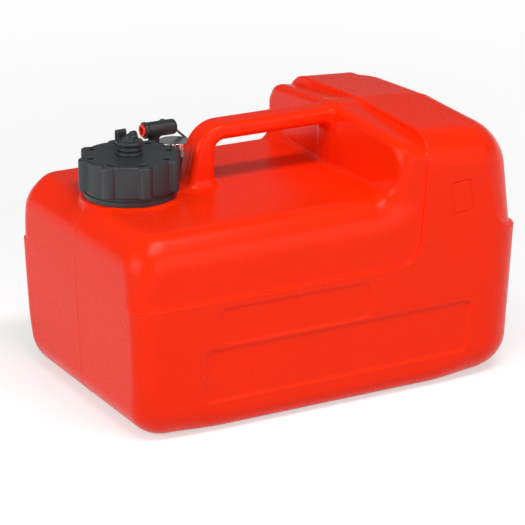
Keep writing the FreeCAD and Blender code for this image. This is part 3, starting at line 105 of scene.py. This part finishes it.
# the fuel fitting
FITTING = (-69.0, 52.0)
PAD_RADIUS, PAD_TOP = 34.0, 170.38
WELL_RADIUS, WELL_FLOOR = 21.5, 4.0
FLANGE_TOP = 175.38
ARM_Y, ARM_Z, ARM_RADIUS = 53.0, 205.38, 6.5
MOUTH_X, TAIL_X = -93.5, -64.0
LEG_X, POST_X = -84.0, -70.3

# how finely the tank is meshed, and how the stage is lit
CELL, FINE_CELL = ((1.25, 0.5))
WORLD_LIGHT = 0.22
FLOOR_SIZE, FLOOR_GREY = 60.0, 0.6      # metres; base colour
GLOW_DISTANCE = (0.5, 2.5)              # metres from the object
FLOOR_GLOW = (0.52, 1.0)                # at those two distances


# --- distance-field helpers ---------------------------------------------------------------------------
def both(a, b, radius, cosine=0.0):
    """Intersection of two fields with a round edge; cosine is that of the angle between their normals."""
    if np.max(radius) <= 0:
        return np.maximum(a, b)
    over_a, over_b = a + radius, b + radius
    in_round = (over_a > cosine * over_b) & (over_b > cosine * over_a)
    square = (over_a ** 2 + over_b ** 2 - 2 * cosine * over_a * over_b) / (1 - cosine ** 2)
    return np.where(in_round, np.sqrt(np.maximum(square, 0)) - radius, np.maximum(a, b))


def either(a, b, radius, cosine=0.0):
    """Union of two fields with a filleted inner corner."""
    return -both(-a, -b, radius, cosine)


def smooth(t):
    t = np.clip(t, 0, 1)
    return t * t * (3 - 2 * t)


def round_box_2d(u, v, half_u, half_v, radius):
    a = np.abs(u) - half_u + radius
    b = np.abs(v) - half_v + radius
    return np.minimum(np.maximum(a, b), 0) + np.hypot(np.maximum(a, 0), np.maximum(b, 0)) - radius


def sunk_panel(x, z, left, right, low, high, slant_left, slant_right, depth, corner, edge):
    """How deep a side panel with slanted ends is sunk at each point."""
    x_left = left - slant_left * (high - z)
    x_right = right - slant_right * (high - z)
    middle = (x_left + x_right) / 2
    field = round_box_2d(x - middle, z - (low + high) / 2, (x_right - x_left) / 2, (high - low) / 2, corner)
    return depth * smooth(0.5 - field / edge)


def tank_field(x, y, z):
    """Signed distance to the outside of the moulded tank."""
    wide = np.abs(y)
    lean = END_DRAFT * 10.0 * np.log1p(np.exp((STEP_Z - z) / 10.0))
    front = (-(x + END_X) + lean) / 1.0004
    rear = ((x - END_X) - END_DRAFT * (z - 124.8)) / 1.0009
    side = ((wide - HALF_WIDTH) - SIDE_DRAFT * (z - STEP_Z)) / 1.0002
    side = side + sunk_panel(x, z, **PANEL_LOWER)
    side = side + sunk_panel(x, z, **PANEL_UPPER)
    box_u = x - BOX_X + 0.09 * (z - BOX_Z)
    box_v = z - BOX_Z - 0.046 * (x - BOX_X)
    box_line = np.abs(round_box_2d(box_u, box_v, 8.8, 13.3, 1.5))
    side = side + np.where(y < 0, BOX_RAISE * smooth(1.0 - box_line / 1.2), 0)

    # the thick lower body and the proud band round the hump, as one skin
    band_front = (-(x - BAND_X) + 0.073 * (z - 145.6)) / 1.0027
    proud = either(z - STEP_Z, band_front, 20.0, 0.073)
    band_top = (0.060 * (x - BAND_X) + 0.044 * wide + (z - 224.9)) / 1.003
    ledge = (z - 132.7 + 0.220 * (x - 148.2)) / 1.024
    band_rear = (x - 145.6 + 0.200 * (z - 145.6)) / 1.02
    kept = either(ledge, band_rear, 30.0, 0.402)
    plan = both(both(side, front, CORNER + 9.0 * smooth((50.0 - z) / 50.0)), rear, REAR_CORNER)
    foot = 18.0 + 8.0 * smooth((-x - 100.0) / 60.0) + 11.0 * smooth((x - 90.0) / 60.0)
    skin = both(plan, -z, foot)
    skin = both(skin, both(side, band_top, 31.0, 0.064), 0)
    skin = both(skin, band_top, 2.0)
    skin = both(skin, proud, SKIN_EDGE)
    skin = both(skin, kept, SKIN_EDGE)

    # the slimmer upper body: the deck, the ridge across the front of the hump and the sweep between them
    slim_side = side + UPPER_INSET
    deck = z - DECK_Z + 0.012 * wide
    ridge_front = (-(x - RIDGE_X) + 0.058 * wide) / 1.0017
    ridge_top = (0.150 * (x - RIDGE_X) + 0.090 * wide + (z - 225.6)) / 1.015
    sweep = 5.0 + 14.0 * smooth((wide - 65.0) / 45.0)
    top = either(deck, both(ridge_front, ridge_top, 6.5, -0.15), sweep)
    corner = both(slim_side, front, 20.5 + 9.0 * smooth((z - 120.0) / 50.0))
    edge = 29.0 - 19.0 * smooth((z - 158.0) / 30.0) + 14.0 * smooth((z - 196.0) / 20.0)
    upper = both(corner, top, edge)
    upper = both(upper, x - JOIN_X, 0)
    upper = both(upper, JOIN_Z - z, 0)

    # the recessed rear of the hump
    back_side = side + BACK_INSET
    back_rear = ((x - END_X + 3.5) + 0.140 * (z - 132.7)) / 1.0098
    back_top = (0.060 * (x - BAND_X) + 0.044 * wide + (z - 222.3)) / 1.003
    crown = 22.0 + 15.0 * smooth((x - 120.0) / 50.0)
    back = both(both(back_side, back_rear, REAR_CORNER), back_top, crown, 0.1)
    back = both(back, JOIN_X - x, 0)
    back = both(back, JOIN_Z - z, 0)

    body = either(skin, upper, 1.0 * smooth((x + 176.0) / 8.0))
    body = either(body, back, 1.0)

    # the carrying handle
    leg_front = (LEG_FRONT_X + 0.21 * (z - HANDLE_UNDER) - x) / 1.022
    grip_top = z - HANDLE_TOP + 0.08 * np.maximum(x - 66.0, 0)
    outline = both(grip_top, leg_front, 28.0, 0.205)
    gap = both(both(z - HANDLE_UNDER, LEG_BACK_X - x, 9.0), x - RIDGE_X, 9.0)
    grip = both(both(outline, -gap, 0.8), wide - GRIP_HALF_WIDTH, 5.5)
    grip = both(grip, both(x - 110.0, 160.0 - z, 0), 0)
    flare = 3.5 + 4.5 * smooth(-x / 30.0)
    body = either(body, grip, flare)

    # the parting line all round, kept inside the overall size
    body = body - PARTING_HEIGHT * np.exp(-(y / PARTING_WIDTH) ** 2)
    body = np.maximum(body, np.maximum(np.abs(x) - END_X, np.maximum(z - TOP_Z, -z)))

    # the bead under the cap and the pad under the fuel fitting
    bead = both(np.hypot(x - NECK_X, y) - BEAD_RADIUS, both(z - BEAD_TOP, 150.0 - z, 0), 0.9)
    body = either(body, bead, 4.0)
    from_fitting = np.hypot(x - FITTING[0], y - FITTING[1])
    pad = both(from_fitting - PAD_RADIUS, both(z - PAD_TOP, 160.0 - z, 0), 0.6)
    body = either(body, pad, 1.5)

    # the filler's bore and the well that holds the fitting's inner pieces
    bore = both(np.hypot(x - NECK_X, y) - BORE_RADIUS, WELL_FLOOR - z, 0)
    well = both(from_fitting - WELL_RADIUS, WELL_FLOOR - z, 0)
    return both(both(body, -bore, 0), -well, 0)


def turned_thread(x, y, z):
    """How far the neck's screw ridge of one and a half turns stands out at each point."""
    turn = np.arctan2(y, x - NECK_X) / (2 * math.pi) % 1.0
    height = (z - THREAD_BOTTOM) / THREAD_PITCH
    wind = np.clip(np.round(height - turn), 0, 1) + turn
    off_crest = np.abs(height - wind) * THREAD_PITCH
    ends = smooth((THREAD_TURNS - wind) / 0.04) * smooth(wind / 0.04)
    return THREAD_HEIGHT * ends * np.clip((1.45 - off_crest) / 0.8, 0, 1)


def neck_field(x, y, z):
    radius = np.hypot(x - NECK_X, y)
    wall = radius - NECK_RADIUS - turned_thread(x, y, z)
    outside = both(wall, both(z - NECK_TOP, 167.0 - z, 0), 0.7)
    return both(outside, BORE_RADIUS - radius, 0.7)


def cap_field(x, y, z):
    """The lobed shell: eight broad lobes and a window in the top of each."""
    x = x - NECK_X
    radius = np.hypot(x, y)
    turn = np.degrees(np.arctan2(y, x)) - LOBE_PHASE
    turn = np.radians((turn + LOBE_STEP / 2) % LOBE_STEP - LOBE_STEP / 2)
    along, across = radius * np.cos(turn), radius * np.sin(turn)
    lobe = np.hypot(along - LOBE_PLACE, across) - LOBE_RADIUS
    wall = either(lobe, radius - CAP_RADIUS, 0.8)
    grooves = sum(0.35 * np.exp(-((radius - place) / 0.7) ** 2) for place in GROOVES)
    body = both(both(wall, z - CAP_TOP + grooves, 1.6), CAP_BOTTOM - z, 0.8)
    hollow = both(radius - CAP_HOLLOW_RADIUS, z - CAP_CEILING, 0)
    window = both(np.abs(along - WINDOW_PLACE) - WINDOW_HALF[0], np.abs(across) - WINDOW_HALF[1], 0.4)
    return both(both(both(body, -hollow, 0.3), -window, 0.3), 6.05 - radius, 0)


def stem_field(x, y, z):
    radius = np.hypot(x - NECK_X, y)
    shank = both(radius - 6.0, both(z - CAP_TOP - 1.0, 194.1 - z, 0), 0.4)
    flange = both(radius - 10.9, both(z - 207.7, CAP_TOP - z, 0), 0.6)
    body = both(radius - 8.6, both(z - STEM_TOP, CAP_TOP - z, 0), 0.4)
    ring = both(radius - 10.5, both(z - 211.8, 209.4 - z, 0), 0.6)
    form = either(either(either(body, flange, 0.4), ring, 0.3), shank, 0)
    return both(form, -both(radius - 5.0, 206.3 - z, 0), 0.2)


def knob_field(x, y, z):
    """The vent's thumb turn: a disc, a hub and a winged fin with a sunk triangle in each side."""
    x = x - NECK_X
    radius = np.hypot(x, y)
    disc = both(radius - 11.0, both(z - KNOB_TOP, KNOB_BOTTOM - z, 0), 0.7)
    spigot = both(radius - 4.9, both(z - KNOB_TOP, 207.8 - z, 0), 0.4)
    hub = both(radius - 4.6, both(z - 219.6, KNOB_BOTTOM - z, 0), 0.8)
    along = x * math.cos(WING_TURN) + y * math.sin(WING_TURN)
    across = np.abs(y * math.cos(WING_TURN) - x * math.sin(WING_TURN))
    tip = (along - 7.5 + 0.19 * (z - 216.1)) / 1.018
    back = (z - WING_TOP - 0.75 * (along - 1.9)) / 1.25
    heel = (-along - 7.5 + 0.75 * (z - 216.1)) / 1.25
    outline = both(both(both(tip, z - WING_TOP, 1.2), back, 1.0), both(heel, 216.0 - z, 0), 0.8)
    fin = both(outline, across - 2.2, 0.7)
    sunk = both(both(tip + 1.5, back + 1.5, 0.5), 217.7 - z, 0.5)
    fin = both(fin, -both(sunk, 1.3 - across, 0.3), 0.3)
    return either(either(either(disc, hub, 0.8), fin, 0.8), spigot, 0)


def outlet_field(x, y, z):
    """The outlet: an arm with a lipped mouth and a domed tail, on a leg that runs into it."""
    radius = np.hypot(y - ARM_Y, z - ARM_Z)
    arm = both(both(radius - ARM_RADIUS, x - TAIL_X, 3.0), MOUTH_X - x, 0.4)
    lip = both(radius - 7.1, both(x - MOUTH_X - 2.4, MOUTH_X - x, 0), 0.5)
    leg = both(np.hypot(x - LEG_X, y - ARM_Y) - 4.8, both(z - ARM_Z, FLANGE_TOP - z, 0), 0)
    post = both(np.hypot(x - POST_X, z - ARM_Z) - 2.2, both(y - 65.5, ARM_Y - y, 0), 0.4)
    form = either(either(either(arm, leg, 2.2), lip, 0.4), post, 0.4)
    return both(form, -both(radius - 4.6, x - MOUTH_X - 7.5, 0), 0.3)


def plug_field(x, y, z):
    radius = np.hypot(y - ARM_Y, z - ARM_Z)
    flange = both(radius - 5.4, both(x + 93.8, -95.4 - x, 0), 0.5)
    spigot = both(radius - 4.5, both(x + 87.0, -94.6 - x, 0), 0.4)
    return both(either(flange, spigot, 0.3), -both(radius - 3.4, x + 88.1, 0), 0.4)


def axis_cells(low, high, step, fine=()):
    """Grid places a step apart from low to high, closer together over each (from, to, step) in fine."""
    places = [low - step]
    while places[-1] < high + step:
        here = places[-1] + 1e-6
        steps = [close for start, end, close in fine if start - 1e-3 <= here < end]
        ahead = [start for start, end, close in fine if here < start < here + step]
        if steps:
            places.append(here + min(steps))
        else:
            places.append(min(ahead + [here + step]))
    return np.array(places)


def grown(field, axes):
    """Vertices and quads of the surface where a field is zero, each vertex moved onto the true surface."""
    values = np.empty([len(a) for a in axes], np.float32)
    for start in range(0, len(axes[0]), 16):
        part = np.meshgrid(axes[0][start:start + 16], axes[1], axes[2], indexing="ij")
        values[start:start + 16] = field(*part)
    inside = values < 0
    corners = [(i, j, k) for i in (0, 1) for j in (0, 1) for k in (0, 1)]
    size = [n - 1 for n in values.shape]
    count = np.zeros(size, np.int8)
    for i, j, k in corners:
        count += inside[i:i + size[0], j:j + size[1], k:k + size[2]]
    mixed = (count > 0) & (count < 8)
    number = np.full(size, -1, np.int64)
    cells = np.array(np.nonzero(mixed))
    number[mixed] = np.arange(cells.shape[1])
    total = np.zeros(cells.shape)
    hits = np.zeros(cells.shape[1])
    for a in corners:
        for axis in range(3):
            if a[axis]:
                continue
            b = list(a)
            b[axis] = 1
            value_a = values[tuple(cells[i] + a[i] for i in range(3))]
            value_b = values[tuple(cells[i] + b[i] for i in range(3))]
            crosses = (value_a < 0) != (value_b < 0)
            share = np.where(crosses, value_a / np.where(crosses, value_a - value_b, 1), 0)
            for i in range(3):
                total[i] += np.where(crosses, a[i] + share * (b[i] - a[i]), 0)
            hits += crosses
    lows = [axes[i][cells[i]] for i in range(3)]
    widths = [axes[i][cells[i] + 1] - lows[i] for i in range(3)]
    points = np.stack([lows[i] + widths[i] * total[i] / hits for i in range(3)], 1)
    quads = []
    for axis in range(3):
        u, v = (axis + 1) % 3, (axis + 2) % 3
        first = [slice(1, -1)] * 3
        first[axis] = slice(0, -1)
        second = list(first)
        second[axis] = slice(1, None)
        here, ahead = inside[tuple(first)], inside[tuple(second)]
        edges = np.array(np.nonzero(here != ahead))
        offset = np.array([0 if i == axis else 1 for i in range(3)])[:, None]
        edges = edges + offset
        rising = here[tuple(edges - offset)]
        ring = []
        for du, dv in ((-1, -1), (0, -1), (0, 0), (-1, 0)):
            cell = edges.copy()
            cell[u] += du
            cell[v] += dv
            ring.append(number[tuple(cell)])
        ring = np.stack(ring, 1)
        ring[~rising] = ring[~rising][:, ::-1]
        quads.append(ring)
    quads = np.concatenate(quads)
    width = np.min(np.stack(widths, 1), 1)[:, None]
    reach = 0.05 * width.min()
    for _ in range(3):
        value = field(*points.T)
        slope = np.stack([(field(*(points + nudge).T) - field(*(points - nudge).T)) / (2 * reach)
                          for nudge in reach * np.eye(3)], 1)
        shift = slope * (value / np.maximum((slope ** 2).sum(1), 0.2))[:, None]
        points = points - np.clip(shift, -0.5 * width, 0.5 * width)
    return points, quads


# --- objects ------------------------------------------------------------------------------------------
def quad_object(name, points, quads):
    """A smooth object from quads, its points given in millimetres."""
    mesh = bpy.data.meshes.new(name)
    mesh.vertices.add(len(points))
    mesh.vertices.foreach_set("co", (points * MM).astype(np.float32).ravel())
    mesh.loops.add(quads.size)
    mesh.loops.foreach_set("vertex_index", quads.astype(np.int32).ravel())
    mesh.polygons.add(len(quads))
    mesh.polygons.foreach_set("loop_start", np.arange(0, quads.size, 4, dtype=np.int32))
    mesh.update(calc_edges=True)
    mesh.validate()
    mesh.shade_smooth()
    piece = bpy.data.objects.new(name, mesh)
    bpy.context.scene.collection.objects.link(piece)
    return piece


def tank_object():
    """The moulded tank, with closer cells along the ledge, the panels' edges and the parting line."""
    ends = [(place - 2.0, place + 2.0, FINE_CELL) for place in (-125.5, -111.6, 26.2, 123.0)]
    levels = [(place - 2.0, place + 2.0, FINE_CELL) for place in (27.3, 72.6, 104.7, 112.0, 170.0)]
    along = axis_cells(-184.0, 184.0, CELL, ends + [(73.0, 79.0, FINE_CELL), (102.0, 146.0, FINE_CELL)])
    across = axis_cells(-117.5, 117.5, CELL, [(-2.1, 2.1, FINE_CELL), (-116.5, -111.0, FINE_CELL)])
    up = axis_cells(0.0, 226.0, CELL, levels + [(149.0, 178.0, FINE_CELL)])
    return quad_object("moulded_tank", *grown(tank_field, (along, across, up)))


def small_object(name, field, low, high, step):
    return quad_object(name, *grown(field, [axis_cells(low[i], high[i], step) for i in range(3)]))


def round_object(name, field, radius, low, high, step):
    """A small object that stands round the filler's axis."""
    return small_object(name, field, (NECK_X - radius, -radius, low), (NECK_X + radius, radius, high), step)


# --- materials ----------------------------------------------------------------------------------------
def plastic(name, color, roughness, specular=0.5, mottle=0.04, grain_size=900.0, bump=0.1, metal=0.0,
            see_through=0.0):
    """A moulded plastic or a metal: a slightly mottled colour and a fine grain in its gloss and surface."""
    material = bpy.data.materials.new(name)
    material.use_nodes = True
    nodes, links = material.node_tree.nodes, material.node_tree.links
    shader = nodes["Principled BSDF"]
    place = nodes.new("ShaderNodeTexCoord")
    soft = nodes.new("ShaderNodeTexNoise")
    soft.inputs["Scale"].default_value = 14.0
    soft.inputs["Detail"].default_value = 3.0
    links.new(place.outputs["Object"], soft.inputs["Vector"])
    mix = nodes.new("ShaderNodeMix")
    mix.data_type = "RGBA"
    mix.inputs["A"].default_value = (*[c * (1 - mottle) for c in color], 1)
    mix.inputs["B"].default_value = (*[min(1, c * (1 + mottle)) for c in color], 1)
    links.new(soft.outputs["Fac"], mix.inputs["Factor"])
    links.new(mix.outputs["Result"], shader.inputs["Base Color"])
    fine = nodes.new("ShaderNodeTexNoise")
    fine.inputs["Scale"].default_value = grain_size
    fine.inputs["Detail"].default_value = 2.0
    links.new(place.outputs["Object"], fine.inputs["Vector"])
    rough = nodes.new("ShaderNodeMapRange")
    rough.inputs["To Min"].default_value = roughness - 0.04
    rough.inputs["To Max"].default_value = roughness + 0.04
    links.new(fine.outputs["Fac"], rough.inputs["Value"])
    links.new(rough.outputs["Result"], shader.inputs["Roughness"])
    relief = nodes.new("ShaderNodeBump")
    relief.inputs["Strength"].default_value = bump
    relief.inputs["Distance"].default_value = 0.0002
    links.new(fine.outputs["Fac"], relief.inputs["Height"])
    links.new(relief.outputs["Normal"], shader.inputs["Normal"])
    shader.inputs["Specular IOR Level"].default_value = specular
    shader.inputs["Metallic"].default_value = metal
    shader.inputs["Transmission Weight"].default_value = see_through
    return material


MATERIALS = {
    "tank_red": plastic("tank_red", (0.90, 0.023, 0.001), 0.28, specular=0.12, bump=0.04),
    "cap_black": plastic("cap_black", (0.026, 0.030, 0.034), 0.40, specular=0.4, bump=0.2),
    "fitting_black": plastic("fitting_black", (0.024, 0.026, 0.029), 0.38, specular=0.4, bump=0.2),
    "seal_rubber": plastic("seal_rubber", (0.02, 0.02, 0.02), 0.7, specular=0.3),
    "clear_window": plastic("clear_window", (0.90, 0.92, 0.92), 0.12, see_through=0.85),
    "drum_white": plastic("drum_white", (0.8, 0.8, 0.78), 0.4),
    "float_foam": plastic("float_foam", (0.03, 0.03, 0.03), 0.8, bump=0.5, grain_size=500.0),
    "plug_red": plastic("plug_red", (0.82, 0.018, 0.004), 0.35),
    "tube_white": plastic("tube_white", (0.72, 0.72, 0.68), 0.45),
    "screw_steel": plastic("screw_steel", (0.58, 0.58, 0.60), 0.30, metal=1.0),
    "bezel_metal": plastic("bezel_metal", (0.72, 0.73, 0.74), 0.24, metal=1.0, bump=1.0, grain_size=300.0),
    "strip_metal": plastic("strip_metal", (0.60, 0.60, 0.62), 0.32, metal=1.0),
}


def dress(piece, slot, body, *nodes):
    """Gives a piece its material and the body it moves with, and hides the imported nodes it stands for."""
    piece.data.materials.append(MATERIALS[slot])
    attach(piece, body)
    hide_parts(*nodes)


for part in frame["record"]["subparts"]:
    node = frame["nodes"][part["node"]]
    node.data.materials.clear()
    node.data.materials.append(MATERIALS[part["material_slot"]])

dress(tank_object(), "tank_red", "tank", "tank_shell")
dress(round_object("filler_neck", neck_field, 33.5, 167.0, NECK_TOP, 0.6),
      "tank_red", "tank", "tank_shell")
dress(round_object("lobed_cap", cap_field, 43.5, CAP_BOTTOM, CAP_TOP, 0.6),
      "cap_black", "cap", "cap_outer_shell")
dress(round_object("vent_turret", stem_field, 11.2, 194.0, STEM_TOP, 0.4),
      "cap_black", "cap", "vent_stem")
dress(round_object("vent_thumb_turn", knob_field, 11.5, 207.0, WING_TOP + 0.2, 0.35),
      "cap_black", "vent_screw", "vent_knob")
dress(small_object("outlet", outlet_field, (-94.0, 45.5, 175.0), (-63.5, 66.0, 213.0), 0.45),
      "fitting_black", "tank", "outlet_elbow")
dress(small_object("outlet_stopper", plug_field, (-95.6, 47.2, 199.6), (-86.8, 58.8, 211.2), 0.35),
      "plug_red", "plug", "outlet_plug")


# --- stage, light and camera --------------------------------------------------------------------------
def stage():
    """A pale floor that the camera and every reflection see as white, with the object's soft shadow on it."""
    bpy.ops.mesh.primitive_plane_add(size=FLOOR_SIZE, location=(0, 0, -0.0002))
    floor = bpy.context.object
    floor.name = "floor"
    material = bpy.data.materials.new("floor_white")
    material.use_nodes = True
    nodes, links = material.node_tree.nodes, material.node_tree.links
    shader = nodes["Principled BSDF"]
    shader.inputs["Base Color"].default_value = (FLOOR_GREY, FLOOR_GREY, FLOOR_GREY, 1)
    shader.inputs["Specular IOR Level"].default_value = 0.0
    shader.inputs["Roughness"].default_value = 0.9
    path = nodes.new("ShaderNodeLightPath")
    last = path.outputs["Is Camera Ray"]
    for kind in ("Is Glossy Ray", "Is Transmission Ray"):
        add = nodes.new("ShaderNodeMath")
        add.operation = "MAXIMUM"
        links.new(last, add.inputs[0])
        links.new(path.outputs[kind], add.inputs[1])
        last = add.outputs[0]
    place = nodes.new("ShaderNodeTexCoord")
    away = nodes.new("ShaderNodeVectorMath")
    away.operation = "LENGTH"
    links.new(place.outputs["Object"], away.inputs[0])
    spread = nodes.new("ShaderNodeMapRange")
    spread.inputs["From Min"].default_value, spread.inputs["From Max"].default_value = GLOW_DISTANCE
    spread.inputs["To Min"].default_value, spread.inputs["To Max"].default_value = FLOOR_GLOW
    links.new(away.outputs["Value"], spread.inputs["Value"])
    glow = nodes.new("ShaderNodeMath")
    glow.operation = "MULTIPLY"
    links.new(spread.outputs["Result"], glow.inputs[1])
    links.new(last, glow.inputs[0])
    shader.inputs["Emission Color"].default_value = (1, 1, 1, 1)
    links.new(glow.outputs[0], shader.inputs["Emission Strength"])
    floor.data.materials.append(material)


def camera():
    """A camera on the near left, its place and lens in millimetres and pixels of a 525 pixel picture."""
    azimuth, elevation, roll = math.radians(-29.1004), math.radians(19.2861), math.radians(0.13476)
    focal, distance, shift_x, shift_y = 2636.0, 2117.43, 12.5135, -11.0870
    back = Vector((math.sin(azimuth) * math.cos(elevation), -math.cos(azimuth) * math.cos(elevation),
                   math.sin(elevation)))
    level = Vector((math.cos(azimuth), math.sin(azimuth), 0))
    upright = back.cross(level)
    right = level * math.cos(roll) + upright * math.sin(roll)
    up = upright * math.cos(roll) - level * math.sin(roll)
    place = Vector((0, 0, 100)) + back * distance - right * (shift_x / focal * distance)
    place += up * (shift_y / focal * distance)
    place = (place - Vector((1, 0, 0))) * 1.04 - Vector((2.55, 10, 0))   # onto this frame's scale and origin
    data = bpy.data.cameras.new("camera")
    data.sensor_width = 36.0
    data.lens = 36.0 * focal / 525.0
    data.clip_start, data.clip_end = 0.1, 50.0
    eye = bpy.data.objects.new("camera", data)
    bpy.context.scene.collection.objects.link(eye)
    eye.matrix_world = Matrix.Translation(place * MM) @ Matrix((right, up, back)).transposed().to_4x4()
    bpy.context.scene.camera = eye


def area(name, place, target, size, power):
    data = bpy.data.lights.new(name, "AREA")
    data.shape = "RECTANGLE"
    data.size, data.size_y = size
    data.energy = power
    lamp = bpy.data.objects.new(name, data)
    bpy.context.scene.collection.objects.link(lamp)
    lamp.location = place
    lamp.rotation_euler = (Vector(target) - Vector(place)).to_track_quat("-Z", "Y").to_euler()


def world():
    scene_world = bpy.data.worlds.new("world")
    scene_world.use_nodes = True
    bpy.context.scene.world = scene_world
    tree = scene_world.node_tree
    tree.nodes["Background"].inputs["Color"].default_value = (1, 1, 1, 1)
    tree.nodes["Background"].inputs["Strength"].default_value = WORLD_LIGHT


stage()
camera()
world()
area("overhead_softbox", (-0.1, -0.75, 1.6), (0, 0, 0.1), (1.3, 0.22), 17)
area("front_softbox", (0.3, -2.2, 0.9), (0, 0, 0.1), (2.4, 1.6), 21)
area("left_softbox", (-2.0, -0.2, 0.8), (0, 0, 0.1), (1.4, 1.2), 21)
bpy.context.scene.view_settings.view_transform = "Standard"
